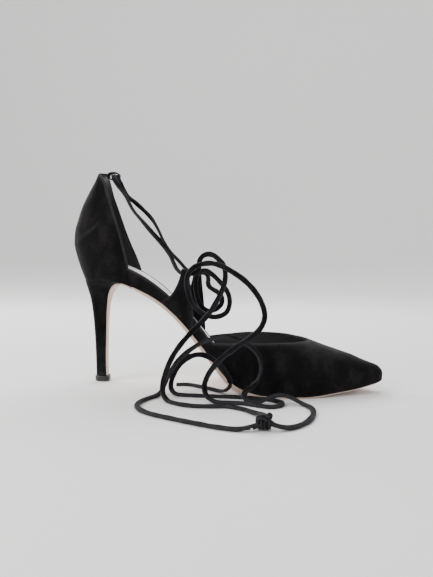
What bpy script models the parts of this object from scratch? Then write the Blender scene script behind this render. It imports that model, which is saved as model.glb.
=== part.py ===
"""A black suede stiletto pump for the left foot: pointed vamp, tall counter, bare waist, ankle lace.

Worked out in millimetres: x from the back of the counter to the toe, y from medial (-) to lateral (+),
z up from the floor. A station runs along each side like x, but turns round the heel and the toe tip.
"""

import math

import bpy
import bmesh
import numpy as np

# Driving dimensions, millimetres
LENGTH = 240.0
WALL = 1.8
GAP = 0.3
SOLE_INSET = 0.4
HEEL_X = 27.0
HEEL_RADIUS = 17.0
TOE_X = 235.0
BULGE = 2.6
OBLIQUE = 0.23
FLAP_THICKNESS = 1.1
TOP_LIFT_HEIGHT = 4.4
TAB_THICKNESS = 1.2
TAB_LOOP = 2.2
LACE_DIAMETER = 3.2
LACE_STEP = 6.0
CENTRE_X = 120.98
CENTRE_Y = 0.69

# Plan of the sole edge: x, half width medial, half width lateral
PLAN = (
    (10, 19.6, 20.2),
    (27, 20.4, 21.3),
    (40, 21.6, 23.0),
    (55, 21.4, 23.8),
    (75, 19.8, 24.6),
    (92, 19.2, 26.0),
    (107, 20.6, 28.6),
    (122, 24.4, 31.9),
    (137, 29.3, 34.9),
    (150, 33.0, 36.6),
    (161, 35.0, 36.8),
    (171, 35.4, 35.4),
    (182, 33.5, 32.2),
    (195, 28.8, 27.2),
    (210, 21.2, 19.9),
    (222, 14.6, 13.7),
    (235, 7.2, 7.0),
    (240, 4.6, 4.6),
)

# Heights on the axis: x, outsole bottom, top of the outsole, top of the insole
HEIGHTS = (
    (10, 81.0, 82.2, 97.4),
    (20, 80.3, 81.6, 96.6),
    (30, 79.4, 80.8, 95.0),
    (40, 77.9, 79.6, 92.8),
    (46, 76.4, 78.0, 90.8),
    (56, 71.4, 73.8, 86.0),
    (65, 66.3, 69.2, 80.4),
    (73, 60.7, 64.0, 74.4),
    (80, 54.8, 58.2, 68.4),
    (88, 46.6, 50.4, 60.6),
    (97, 36.2, 40.2, 51.2),
    (105, 26.6, 30.6, 41.6),
    (113, 16.4, 20.4, 32.0),
    (121, 7.0, 11.4, 23.0),
    (129, 1.4, 5.6, 15.0),
    (137, 0.0, 3.2, 9.6),
    (147, 0.0, 2.8, 6.6),
    (160, 0.0, 2.8, 5.8),
    (176, 0.0, 2.8, 5.8),
    (187, 0.6, 3.3, 6.3),
    (200, 2.0, 4.6, 7.6),
    (215, 3.7, 6.1, 9.1),
    (230, 6.3, 8.6, 11.6),
    (240, 8.6, 10.8, 13.8),
)

# Crest of the last: x, height. Behind the throat it only shapes the sections.
CREST = (
    (60, 150.0),
    (90, 112.0),
    (120, 79.0),
    (140, 62.0),
    (160, 49.0),
    (175, 41.9),
    (187, 37.2),
    (198, 33.4),
    (207, 30.6),
    (216, 27.6),
    (224, 24.4),
    (235, 20.4),
)
CREST_END_SLOPE = 0.36
THROAT = 187.0

# Counter: height above the sole edge, offset from it at the back, offset at the sides
COUNTER = (
    (0, 0.0, 0.0),
    (10, 4.0, 1.9),
    (20, 7.3, 3.4),
    (28, 8.8, 4.0),
    (36, 8.3, 3.9),
    (46, 5.6, 3.0),
    (57, 1.8, 0.8),
    (68, -4.4, -2.6),
    (78, -11.6, -5.8),
    (84, -16.8, -8.0),
)

# Topline of the counter: station, height medial, height lateral
COUNTER_TOP = (
    (0, 165.2, 165.2),
    (12, 164.5, 164.2),
    (18, 163.6, 162.2),
    (22, 162.6, 157.0),
    (25, 161.4, 149.0),
    (27, 160.0, 143.0),
    (30, 156.0, 132.6),
    (32, 151.0, 126.0),
    (36, 142.0, 114.4),
    (40, 132.6, 104.6),
    (43.4, 123.4, 96.6),
    (46.5, 113.6, 88.0),
    (48.6, 105.4, 78.0),
    (50.2, 98.0, 66.0),
    (52, 86.0, 50.0),
    (54, 66.0, 30.0),
)

# Topline of the vamp: station, height medial, height lateral
VAMP_TOP = (
    (96, 56.2, 31.0),
    (101, 53.3, 32.6),
    (106, 47.5, 34.0),
    (110, 42.7, 34.6),
    (113, 38.9, 35.0),
    (116, 36.4, 35.4),
    (119, 35.2, 35.7),
    (130, 35.6, 37),
    (148, 36.6, 38.4),
    (165, 37.2, 38.9),
    (178, 37.3, 38.3),
    (187, 37.4, 37.4),
)

# Breast: x and z of the leather's face, half width of the leather
BREAST = (
    (50.0, 74.8, 20.6),
    (45.8, 76.6, 20.6),
    (41.8, 77.8, 19.8),
    (38.0, 77.7, 17.6),
    (34.9, 76.3, 14.8),
    (32.3, 73.6, 11.6),
    (30.2, 69.3, 8.4),
    (28.9, 63.4, 5.8),
    (28.0, 55.5, 4.4),
    (27.5, 44.5, 3.7),
    (27.1, 32.0, 3.3),
    (26.9, 20.0, 3.2),
    (27.0, 10.0, 3.2),
    (27.2, 4.9, 3.2),
)

# Heel: back x, back z, row of the breast at its front, half width
HEEL = (
    (10.4, 81.9, 2.6, 21.0),
    (10.9, 79.2, 3.2, 19.8),
    (11.8, 76.0, 4, 17.2),
    (12.7, 72.4, 5, 14.0),
    (13.6, 68.0, 6, 10.9),
    (14.5, 62.2, 7, 8.6),
    (15.3, 54.5, 8, 7.1),
    (16.2, 44.0, 9, 6.2),
    (16.9, 32.0, 10, 5.5),
    (17.3, 20.0, 11, 5.1),
    (17.6, 10.0, 12, 5.0),
    (17.7, 4.9, 13, 5.1),
)

# Tabs: share of the way up, left edge, right edge. They lie on the waist up to TAB_BAND, then stand.
TAB = (
    (0.00, 77.6, 100.0),
    (0.16, 80.0, 100.8),
    (0.32, 83.0, 101.4),
    (0.50, 85.8, 101.0),
    (0.70, 88.7, 99.9),
    (0.88, 91.2, 98.6),
    (1.00, 92.6, 98.2),
)
TAB_BAND = 0.32
TAB_TOP = 87.0
KEEPER = (32.7, 163.3)

# Lace routes: x, y, z
LACE_HEEL = (
    (99, -18.1, 87),
    (92.4, -18.1, 87),
    (88.6, -17.2, 89.6),
    (85.4, -15.6, 94.6),
    (82, -13.8, 101),
    (75, -13, 110),
    (67.5, -12.5, 118),
    (59, -12, 127.5),
    (53.6, -12, 133.6),
    (50.2, -12, 139),
    (47.6, -12, 144.4),
    (44.4, -12, 149.2),
    (41, -12, 153.6),
    (38, -11.6, 158.2),
    (35.6, -8.6, 161.8),
    (34.2, -4.2, 163.2),
    (33.9, 0, 163.3),
    (34, 4.2, 163.2),
    (34.4, 8.4, 161.2),
    (35, 11.4, 157.4),
    (37.4, 12, 152.8),
    (40.6, 12, 148.4),
    (46, 12, 144),
    (52.4, 12, 138.4),
    (60, 12, 130.6),
    (65.5, 12.5, 121.5),
    (70, 13, 112),
    (75.5, 14.5, 103.5),
    (82, 19, 95.4),
    (87, 23, 89.2),
    (91.2, 25.1, 87),
    (97.8, 25.1, 87),
)
LACE_MEDIAL = (
    (100.5, -18.1, 87),
    (103, -18.2, 87.6),
    (105, -18.8, 89.8),
    (105.8, -19.8, 93),
    (106.4, -21.2, 96.4),
    (108.8, -22.8, 99.5),
    (112.9, -24.8, 101.1),
    (118.1, -27.8, 100.1),
    (122.3, -30.2, 97),
    (125.4, -32, 93.8),
    (127.2, -33.6, 89),
    (127.5, -34.6, 83.6),
    (126.4, -36, 77.6),
    (124, -37.2, 71.8),
    (120.6, -38.6, 65.2),
    (116.4, -40.2, 58.6),
    (109, -42.6, 50.5),
    (103.5, -44.2, 44.5),
    (98.5, -45.6, 38.5),
    (94, -46.8, 32),
    (90.4, -47.8, 25),
    (87.8, -49, 17.5),
    (86.6, -51, 10.5),
    (88, -55, 4.8),
    (93, -60, 2),
    (101, -65, 1.9),
    (112, -68, 1.9),
    (123, -67, 1.9),
    (134, -65.5, 1.9),
    (144, -69.5, 1.9),
    (152, -77, 2.2),
    (157.6, -85, 3.4),
    (160.9, -95.4, 5.1),
)
LACE_LATERAL = (
    (99.2, 25.1, 87),
    (101.8, 25, 86.6),
    (104, 24, 84.6),
    (105, 22, 81.6),
    (105.4, 19.2, 78.6),
    (107, 16.2, 75.8),
    (110.8, 13, 73.6),
    (115.1, 9.6, 71.5),
    (118.6, 6.8, 67.6),
    (118.8, 3.8, 62.9),
    (115.2, 1.2, 59),
    (110.2, -0.8, 57.6),
    (105.4, -2.5, 60),
    (102.8, -4.2, 64),
    (101.2, -6, 69.6),
    (100.6, -7.3, 75.5),
    (100.9, -8.7, 81.4),
    (102.4, -10, 85.8),
    (105.4, -11.2, 88.5),
    (109.8, -12.5, 88.9),
    (115.5, -13.8, 85.4),
    (121.3, -15, 79.9),
    (125.7, -16.1, 74.6),
    (128, -17.2, 69.2),
    (128.2, -18.4, 63.4),
    (126, -19.5, 58.3),
    (120.9, -20.6, 55.6),
    (114.8, -21.6, 55.4),
    (108.3, -22.8, 58.3),
    (102.2, -24.2, 64.2),
    (98.9, -25.2, 71.8),
    (97.8, -26, 78.2),
    (98, -26.8, 83.2),
    (99.8, -27.6, 87.6),
    (103, -28.9, 91),
    (107.1, -30.4, 93),
    (112, -31.9, 94.2),
    (116.8, -33.4, 94.5),
    (121.6, -35.2, 93.7),
    (126.4, -37, 92),
    (133, -39, 88.6),
    (141.5, -40.8, 83),
    (149, -42.2, 75.5),
    (154.2, -43.4, 67),
    (156.2, -44.6, 58.5),
    (153.8, -46, 51),
    (147, -47.6, 44.5),
    (138.5, -48.8, 38.5),
    (130, -49.6, 32),
    (123, -50.2, 25),
    (118, -50.8, 17.5),
    (116, -51.8, 10.5),
    (118, -53.6, 4.6),
    (124, -55.2, 2),
    (133, -55.6, 1.9),
    (143, -56, 1.9),
    (153, -59.5, 1.9),
    (162, -61.5, 1.9),
    (168.4, -56, 1.9),
    (167.4, -48.2, 1.9),
    (160, -43.6, 1.9),
    (150, -41.2, 1.9),
    (137, -40.2, 1.9),
    (123, -40.6, 1.9),
    (110, -41, 1.9),
    (99, -41, 1.9),
)
LACE_END = (
    (166.7, -106.6, 3.7),
    (174.6, -104.4, 2.2),
    (183, -94.5, 1.9),
    (187.5, -82, 1.9),
    (189, -70, 1.9),
    (187.4, -59, 1.9),
    (182.4, -51.6, 2.2),
    (175.4, -49.4, 4.6),
    (168.2, -49.6, 6.4),
    (161, -50.6, 5),
    (154.4, -51.4, 2.4),
    (148.4, -51.2, 2.1),
    (144.2, -49.4, 3),
    (142.8, -46.8, 5),
    (144.2, -44.8, 7.2),
    (147.6, -44, 9.6),
    (150.6, -43.8, 12.9),
    (152.8, -43.8, 17.2),
    (154, -44, 22),
    (153.7, -44.1, 27.2),
    (151.8, -44, 32),
    (148.2, -43.8, 36.2),
    (143, -43.3, 39.7),
    (136.4, -42.8, 42.4),
    (128.6, -42.4, 43.6),
    (120, -42, 41.9),
    (111.4, -41.4, 38.4),
    (103.6, -40.6, 33.4),
    (97, -39.6, 27.8),
    (91.6, -38.6, 21.4),
    (87.6, -37.8, 14.6),
    (84.6, -38, 8),
    (82.6, -41.6, 3.2),
    (80, -48, 1.9),
    (76.4, -56, 1.9),
    (74.4, -65, 1.9),
    (75.6, -74.6, 1.9),
    (80.6, -83, 1.9),
    (89, -90, 1.9),
    (101, -96, 1.9),
    (117, -103, 1.9),
    (133, -109, 1.9),
    (146, -111.4, 2),
    (156.4, -108.7, 3.5),
)
LACE_TAIL = (
    (86, -10, 1.9),
    (95, -8.5, 1.9),
    (105, -13.5, 1.9),
    (115, -20, 1.9),
    (122, -25.6, 2.1),
    (127.4, -30.4, 3.6),
    (130.9, -34.2, 7.2),
    (131.2, -36.4, 12.2),
    (128.2, -36.8, 17.4),
    (123.6, -36.2, 22.6),
    (117.6, -35.4, 27),
    (110, -34.2, 29.2),
    (102.6, -33.4, 27.6),
    (96.4, -32.8, 23.4),
    (91.4, -32.4, 17.2),
    (88.4, -33, 10.2),
    (88.6, -36.4, 5),
    (92.4, -40, 2.4),
    (98.2, -41, 1.9),
)
KNOT = (161.5, -103.5, 5.5)


def curve(rows, column):
    """A monotone cubic through one column of a table, over its first column."""
    xs = np.array([row[0] for row in rows], float)
    ys = np.array([row[column] for row in rows], float)
    h = np.diff(xs)
    d = np.diff(ys) / h
    slope = np.empty_like(ys)
    slope[0] = d[0]
    slope[-1] = d[-1]
    same = d[:-1] * d[1:] > 0
    w1 = 2 * h[1:] + h[:-1]
    w2 = h[1:] + 2 * h[:-1]
    safe0 = np.where(same, d[:-1], 1)
    safe1 = np.where(same, d[1:], 1)
    slope[1:-1] = np.where(same, (w1 + w2) / (w1 / safe0 + w2 / safe1), 0)

    def value(x):
        x = np.clip(x, xs[0], xs[-1])
        i = np.clip(np.searchsorted(xs, x) - 1, 0, len(h) - 1)
        t = (x - xs[i]) / h[i]
        start = ys[i] * (1 + 2 * t) * (1 - t) ** 2 + slope[i] * h[i] * t * (1 - t) ** 2
        return start + ys[i + 1] * t * t * (3 - 2 * t) + slope[i + 1] * h[i] * t * t * (t - 1)

    return value


def ease(x, a, b):
    t = np.clip((x - a) / (b - a), 0, 1)
    return t * t * (3 - 2 * t)


width = {-1: curve(PLAN, 1), 1: curve(PLAN, 2)}
sole_bottom = curve(HEIGHTS, 1)
sole_top = curve(HEIGHTS, 2)
insole_top = curve(HEIGHTS, 3)
crest = curve(CREST, 1)
counter_back = curve(COUNTER, 1)
counter_side = curve(COUNTER, 2)
counter_top = {-1: curve(COUNTER_TOP, 1), 1: curve(COUNTER_TOP, 2)}
vamp_top = {-1: curve(VAMP_TOP, 1), 1: curve(VAMP_TOP, 2)}


def along(x, y):
    """The lines of equal height cross the sole at a slant: the medial arch is the higher one."""
    return x + y * OBLIQUE * ease(x, 8, 48)


def plan(station, side):
    """Sole edge at a station: x, y and the turn round the heel, 0 at its back and 1 along the sides."""
    turn = np.clip(station / HEEL_X, 0, 1) * math.pi / 2
    nose = np.clip((station - TOE_X) / (LENGTH - TOE_X), 0, 1) * math.pi / 2
    x = np.where(station < HEEL_X, HEEL_X - HEEL_RADIUS * np.cos(turn), station)
    x = np.where(station > TOE_X, TOE_X + (LENGTH - TOE_X) * np.sin(nose), x)
    y = side * width[side](x) * np.sin(turn) * np.cos(nose)
    return x, y, np.sin(turn) ** 2


def edge_normal(station, side):
    """Outward normal of the sole edge in plan."""
    step = 0.05
    xa, ya, _ = plan(np.clip(station - step, 0, LENGTH), side)
    xb, yb, _ = plan(np.clip(station + step, 0, LENGTH), side)
    tx, ty = xb - xa, yb - ya
    size = np.hypot(tx, ty)
    return -side * ty / size, side * tx / size


def sole_edge(station, side):
    x, y, _ = plan(station, side)
    return sole_top(along(x, y))


def skin(station, rise, side):
    """Outside of the last at a rise above the sole edge: ellipse sections in front, counter behind."""
    x, y, turn = plan(station, side)
    nx, ny = edge_normal(station, side)
    base = sole_top(along(x, y))
    ridge_x = np.minimum(x, TOE_X)
    high = np.maximum(crest(ridge_x) - base, 1.0)
    up = np.clip(rise / high, 0, 1)
    across = np.sqrt(1 - up * up)
    bulge = BULGE * (1 - 0.62 * ease(x, 185, 240)) * 2 * up * across
    rear = 1 - ease(x, 54, 92)
    offset = counter_back(rise) * (1 - turn) + counter_side(rise) * turn
    keep = across * (1 - rear) + rear
    push = bulge * (1 - rear) + offset * rear
    px = ridge_x + (x - ridge_x) * keep + nx * push
    py = y * keep + ny * push
    fall = CREST_END_SLOPE * (px - ridge_x) * up * ease(x, TOE_X, TOE_X + 1)
    return np.stack([px, py, base + rise - fall], -1)


def skin_normal(station, rise, side):
    step = 0.2
    along_side = skin(station + step, rise, side) - skin(station - step, rise, side)
    upward = skin(station, rise + step, side) - skin(station, rise, side)
    normal = np.cross(along_side, upward) * -side
    return normal / np.linalg.norm(normal, axis=-1, keepdims=True)


def topline(station, side):
    """Rise of the upper's edge above the sole edge: counter, then flush with the insole, then vamp."""
    x, y, _ = plan(station, side)
    flush = insole_top(along(x, y * 0.95)) - 0.5
    rear = np.where(station < 54, counter_top[side](station), 0)
    front = np.where(station > 96, vamp_top[side](station), 0)
    top = np.maximum(np.maximum(rear, front), flush)
    top = np.where(station > THROAT, crest(np.minimum(x, TOE_X)), top)
    return top - sole_top(along(x, y))


def add_object(name, verts, faces, color, roughness, smooth=True):
    """Mesh object from points in millimetres, welded, with faces turned out."""
    mesh = bpy.data.meshes.new(name)
    shift = np.array([CENTRE_X, CENTRE_Y, 0.0])
    mesh.from_pydata(((np.asarray(verts) - shift) * 0.001).tolist(), [], faces)
    bm = bmesh.new()
    bm.from_mesh(mesh)
    bmesh.ops.remove_doubles(bm, verts=bm.verts, dist=1e-6)
    bmesh.ops.dissolve_degenerate(bm, edges=bm.edges, dist=1e-6)
    bmesh.ops.recalc_face_normals(bm, faces=bm.faces)
    if bm.calc_volume(signed=True) < 0:
        bmesh.ops.reverse_faces(bm, faces=bm.faces)
    for face in bm.faces:
        face.smooth = smooth
    bm.to_mesh(mesh)
    bm.free()
    obj = bpy.data.objects.new(name, mesh)
    bpy.context.scene.collection.objects.link(obj)
    add_material(obj, name, color, roughness)
    return obj


def add_material(obj, name, color, roughness):
    material = bpy.data.materials.new(name)
    material.use_nodes = True
    shader = material.node_tree.nodes["Principled BSDF"]
    shader.inputs["Base Color"].default_value = (*color, 1.0)
    shader.inputs["Roughness"].default_value = roughness
    obj.data.materials.append(material)


def grid_faces(rows, columns, close=False):
    """Quads of a grid of rows times columns; close joins the last column to the first."""
    faces = []
    for r in range(rows - 1):
        for c in range(columns if close else columns - 1):
            d = (c + 1) % columns
            faces.append((r * columns + c, r * columns + d, (r + 1) * columns + d, (r + 1) * columns + c))
    return faces


def wrapped_faces(rows, columns):
    """A grid whose columns close to a tube and whose first and last rows are capped."""
    faces = grid_faces(rows, columns, close=True)
    faces.append(tuple(range(columns))[::-1])
    faces.append(tuple((rows - 1) * columns + c for c in range(columns)))
    return faces


BLACK = (0.012, 0.011, 0.012)
PALE = (0.72, 0.70, 0.67)
NUDE = (0.60, 0.43, 0.34)
RUBBER = (0.02, 0.02, 0.02)

# Stations of the upper: round the heel, counter edge, waist, vamp, throat, toe
STATIONS = (
    [0, 4, 8, 12, 15.5, 18.5, 21, 23, 25, 27]
    + [28.5, 30, 31.2, 32.6, 34.4, 36.4, 38.4, 40.2, 42, 43.6, 45, 46.4, 47.7, 48.9, 50, 51, 52]
    + [56, 62, 68, 75, 82, 89, 95, 100, 104, 108, 112, 115, 118, 122, 127, 133, 139, 146, 153, 160]
    + [166, 171, 175, 178.5, 181.3, 183.5, 185.2, 186.3, THROAT]
    + [190, 195, 201, 207, 213, 219, 225, 230, TOE_X]
    + [236.2, 237.4, 238.5, 239.4, LENGTH]
)
RISES = 7


def build_upper():
    """One skin from sole edge to topline on both sides, closed over the toe, then a wall inward."""
    stations = np.array(STATIONS, float)
    verts = []
    faces = []
    for side in (-1, 1):
        top = topline(stations, side)[:, None]
        x, y, _ = plan(stations, side)
        high = (crest(np.minimum(x, TOE_X)) - sole_edge(stations, side))[:, None]
        share = np.linspace(0, 1, RISES + 1)[None, :]
        front = (stations > 96)[:, None]
        angle = np.arcsin(np.clip(top / high, 0, 1)) * share
        rise = np.where(front, high * np.sin(angle), top * share)
        points = skin(stations[:, None], rise, side)
        points[stations >= THROAT, -1, 1] = 0.0
        points[[0, -1], :, 1] = 0.0
        start = len(verts)
        verts.extend(points.reshape(-1, 3))
        for face in grid_faces(len(stations), RISES + 1):
            faces.append(tuple(start + i for i in face))
    obj = add_object("upper", verts, faces, BLACK, 0.9)
    wall = obj.modifiers.new("wall", "SOLIDIFY")
    wall.thickness = WALL * 0.001
    wall.offset = -1
    return obj


def inner_edge(stations, rise, side, inset):
    """Points on the last, moved inward along its normal."""
    return skin(stations, rise, side) - skin_normal(stations, rise, side) * inset


def pad(stations, lower, upper, rings, across=7):
    """A closed pad between both sides: rims given from bottom to top, faces following the heights."""
    columns = across + 1
    share = np.linspace(0, 1, columns)[None, :, None]

    def sheet(left, right, height):
        points = left[:, None] * (1 - share) + right[:, None] * share
        inside = points[:, 1:-1]
        inside[..., 2] = height(inside[..., 0], inside[..., 1])
        points[:, 1:-1] = inside
        return points

    bottom = sheet(rings[0][0], rings[0][1], lower)
    top = sheet(rings[-1][0], rings[-1][1], upper)
    around = [bottom]
    for left, right in rings[1:-1]:
        around.append(right[:, None])
    around.append(top[:, ::-1])
    for left, right in rings[1:-1][::-1]:
        around.append(left[:, None])
    section = np.concatenate(around, 1)
    return section.reshape(-1, 3), wrapped_faces(len(stations), section.shape[1])


def build_insole():
    """Fills the upper's foot from the outsole to the footbed, clear of the wall all round."""
    rear = [0.6, 3, 6, 10, 14, 18, 22, 27, 33, 40, 47, 54, 61, 68, 75, 82, 89, 96, 103, 110, 117]
    front = [124, 131, 139, 148, 158, 168, 178, 188, 198, 208, 217, 225, 232, 235, 237.4, 238.8]
    stations = np.array(rear + front, float)
    clear = (WALL + GAP + 0.1 + 0.5 * (1 - ease(stations, 10, 40)))[:, None]
    rings = []
    for share in (0.0, 0.5, 1.0):
        pair = []
        for side in (-1, 1):
            x, y, _ = plan(stations, side)
            depth = insole_top(along(x, y * 0.95)) - sole_top(along(x, y))
            pair.append(inner_edge(stations, depth * share + 0.1 * (1 - share), side, clear))
        rings.append(pair)
    verts, faces = pad(
        stations, lambda x, y: sole_top(along(x, y)) + 0.1, lambda x, y: insole_top(along(x, y)), rings
    )
    return add_object("insole", verts, faces, PALE, 0.5)


def breast_rows():
    """The breast as an array, with the unit direction from the leather's face into the heel."""
    rows = np.array(BREAST, float)
    ahead = np.gradient(rows[:, :2], axis=0)
    ahead /= np.linalg.norm(ahead, axis=1, keepdims=True)
    inward = np.stack([ahead[:, 1], -ahead[:, 0]], 1)
    inward *= np.sign(-inward[-1, 0])
    return rows, inward


def build_outsole():
    """Leather from the toe to the arch, then round the breast and down the front of the heel."""
    front = [239.4, 237.6, 235, 232, 225, 217, 208, 198, 188, 180, 172, 164, 156, 148, 141, 135, 129]
    arch = [124, 119, 113, 107, 101, 95, 89, 83, 77, 71, 65, 59, 54]
    stations = np.array(front + arch, float)
    columns = 8
    share = np.linspace(0, 1, columns)[None, :, None]
    edges = {}
    for side in (-1, 1):
        nx, ny = edge_normal(stations, side)
        x, y, _ = plan(stations, side)
        edges[side] = np.stack([x - nx * SOLE_INSET, y - ny * SOLE_INSET], -1)
        edges[side * 2] = np.stack([x - nx * (SOLE_INSET + 0.7), y - ny * (SOLE_INSET + 0.7)], -1)
    top = edges[-1][:, None] * (1 - share) + edges[1][:, None] * share
    low = edges[-2][:, None] * (1 - share) + edges[2][:, None] * share
    top_z = sole_top(along(top[..., 0], top[..., 1])) - GAP
    low_z = sole_bottom(along(low[..., 0], low[..., 1]))
    top = np.concatenate([top, top_z[..., None]], -1)
    low = np.concatenate([low, low_z[..., None]], -1)
    rows, inward = breast_rows()
    for i, (x, z, half) in enumerate(rows):
        into = inward[i] * FLAP_THICKNESS
        y = np.linspace(-half, half, columns)
        skew = -y * OBLIQUE * 0.8
        face = np.stack([x + skew, y, np.full(columns, z)], -1)
        back = np.stack([x + skew + into[0], y, np.full(columns, z + into[1])], -1)
        low = np.concatenate([low, face[None]], 0)
        top = np.concatenate([top, back[None]], 0)
    section = np.concatenate([low, top[:, ::-1]], 1)
    faces = wrapped_faces(len(section), columns * 2)
    return add_object("outsole", section.reshape(-1, 3), faces, NUDE, 0.5)


def ring(back_x, front_x, half, count, back_z, front_z, squareness):
    """Closed heel section: round at the back, flat at the breast, tilted from back to front."""
    angle = np.arange(count) * 2 * math.pi / count
    c, s = np.cos(angle), np.sin(angle)
    middle = front_x - 0.55 * (front_x - back_x)
    power = np.where(c > 0, 2 / squareness, 1.0)
    x = np.where(c > 0, front_x - middle, middle - back_x) * np.sign(c) * np.abs(c) ** power + middle
    y = half * np.sign(s) * np.abs(s) ** power
    z = back_z + (front_z - back_z) * (x - back_x) / (front_x - back_x)
    x = x - np.where(c > 0, y * OBLIQUE * 0.8 * np.abs(c) ** 0.5, 0)
    return np.stack([x, y, z], -1)


def build_heel():
    """Rings from the seat, where the section rises to the sole's edge, down to the tip."""
    count = 32
    rows, inward = breast_rows()
    sides = 1 - ease(np.cos(np.arange(count) * 2 * math.pi / count), 0.3, 0.9)
    lift = np.zeros(count)
    rings = []
    for level, (back_x, back_z, row, half) in enumerate(HEEL):
        fine = np.arange(len(rows))
        face = [np.interp(row, fine, rows[:, k]) for k in range(2)]
        into = [np.interp(row, fine, inward[:, k]) for k in range(2)]
        front = np.array(face) + np.array(into) * (FLAP_THICKNESS + GAP + 0.15)
        points = ring(back_x, front[0], half, count, back_z, front[1], 5.0)
        seat = sole_top(along(points[:, 0], points[:, 1])) - GAP
        if level == 0:
            lift = np.maximum(seat - points[:, 2], 0) * sides
        points[:, 2] = np.minimum(points[:, 2] + lift * (1 - ease(level, 0, 3.5)), seat)
        rings.append(points)
    verts = np.concatenate(rings, 0)
    return add_object("heel", verts, wrapped_faces(len(rings), count), BLACK, 0.9)


def build_top_lift():
    """Rubber tip, a little wider than the heel above it."""
    count = 32
    levels = ((0.0, 0.5), (0.7, 0.0), (TOP_LIFT_HEIGHT - 0.5, 0.0), (TOP_LIFT_HEIGHT, 0.4))
    rings = [ring(16.6 + cut, 28.6 - cut, 5.7 - cut, count, z, z, 4.0) for z, cut in levels]
    return add_object("top_lift", np.concatenate(rings, 0), wrapped_faces(4, count), RUBBER, 0.45)


def build_tab(name, side, shift):
    """Strap lying on the waist, standing above it and folded inward to a loop for the lace."""
    left, right = curve(TAB, 1), curve(TAB, 2)
    columns = np.linspace(0, 1, 5)
    inner, outer = [], []
    middle = np.array([95.4])
    stand_y = skin(middle, topline(middle, side), side)[0, 1] + side * GAP
    for share in np.concatenate([np.linspace(0, TAB_BAND, 5), np.linspace(TAB_BAND, 1, 7)[1:]]):
        x = left(share) + (right(share) - left(share)) * columns + shift
        band = topline(x, side)
        foot = sole_edge(x, side)
        lying = np.minimum(share / TAB_BAND, 1)
        standing = max(share - TAB_BAND, 0) / (1 - TAB_BAND)
        rise = 0.8 + (band - 0.8) * lying
        y = skin(x, rise, side)[:, 1] + side * GAP
        y = y + (stand_y - y) * standing
        z = foot + rise
        z = z + (TAB_TOP - z) * standing
        inner.append(np.stack([x, y, z], -1))
        outer.append(np.stack([x, y + side * TAB_THICKNESS, z], -1))
    x, y, z = inner[-1][:, 0], inner[-1][0, 1] - side * TAB_LOOP, TAB_TOP
    for angle in np.radians(np.linspace(0, 290, 13)[1:]):
        for skin_rows, radius in ((inner, TAB_LOOP), (outer, TAB_LOOP + TAB_THICKNESS)):
            across = np.full(len(x), y + side * radius * math.cos(angle))
            skin_rows.append(np.stack([x, across, np.full(len(x), z + radius * math.sin(angle))], -1))
    section = np.concatenate([np.array(inner), np.array(outer)[:, ::-1]], 1)
    return add_object(name, section.reshape(-1, 3), wrapped_faces(*section.shape[:2]), BLACK, 0.9)


def build_keeper():
    """Flat strap loop that stands forward from the peak of the counter, open from side to side for the lace."""
    count = 28
    angle = np.arange(count) * 2 * math.pi / count
    rings = []
    for y, long, high in ((-3.0, 4.9, 3.1), (3.0, 4.9, 3.1), (3.0, 3.8, 2.1), (-3.0, 3.8, 2.1)):
        x = KEEPER[0] + long * np.cos(angle)
        z = KEEPER[1] + high * np.sin(angle)
        rings.append(np.stack([x, np.full(count, y), z], -1))
    rings.append(rings[0])
    faces = grid_faces(5, count, close=True)
    return add_object("lace_keeper", np.concatenate(rings, 0), faces, BLACK, 0.9)


def smooth_route(route, step):
    """Evenly spaced points on a centripetal curve through the route."""
    knots = np.array(route, float)
    ends = np.concatenate([[2 * knots[0] - knots[1]], knots, [2 * knots[-1] - knots[-2]]])
    pieces = []
    for p0, p1, p2, p3 in zip(ends[:-3], ends[1:-2], ends[2:-1], ends[3:]):
        t0 = 0.0
        t1 = t0 + np.linalg.norm(p1 - p0) ** 0.5
        t2 = t1 + np.linalg.norm(p2 - p1) ** 0.5
        t3 = t2 + np.linalg.norm(p3 - p2) ** 0.5
        t = np.linspace(t1, t2, 16)[:-1, None]
        a1 = (t1 - t) / (t1 - t0) * p0 + (t - t0) / (t1 - t0) * p1
        a2 = (t2 - t) / (t2 - t1) * p1 + (t - t1) / (t2 - t1) * p2
        a3 = (t3 - t) / (t3 - t2) * p2 + (t - t2) / (t3 - t2) * p3
        b1 = (t2 - t) / (t2 - t0) * a1 + (t - t0) / (t2 - t0) * a2
        b2 = (t3 - t) / (t3 - t1) * a2 + (t - t1) / (t3 - t1) * a3
        pieces.append((t2 - t) / (t2 - t1) * b1 + (t - t1) / (t2 - t1) * b2)
    dense = np.concatenate(pieces + [knots[-1:]])
    length = np.concatenate([[0], np.cumsum(np.linalg.norm(np.diff(dense, axis=0), axis=1))])
    even = np.linspace(0, length[-1], int(round(length[-1] / step)) + 1)
    return np.stack([np.interp(even, length, dense[:, k]) for k in range(3)], -1)


def build_lace(name, route):
    """Round tube along a route, with closed ends."""
    points = (smooth_route(route, LACE_STEP) - np.array([CENTRE_X, CENTRE_Y, 0.0])) * 0.001
    data = bpy.data.curves.new(name, "CURVE")
    data.dimensions = "3D"
    data.bevel_depth = LACE_DIAMETER * 0.0005
    data.bevel_resolution = 2
    data.use_fill_caps = True
    spline = data.splines.new("POLY")
    spline.points.add(len(points) - 1)
    spline.points.foreach_set("co", np.column_stack([points, np.ones(len(points))]).ravel())
    obj = bpy.data.objects.new(name, data)
    bpy.context.scene.collection.objects.link(obj)
    add_material(obj, name, BLACK, 0.9)
    return obj


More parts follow.
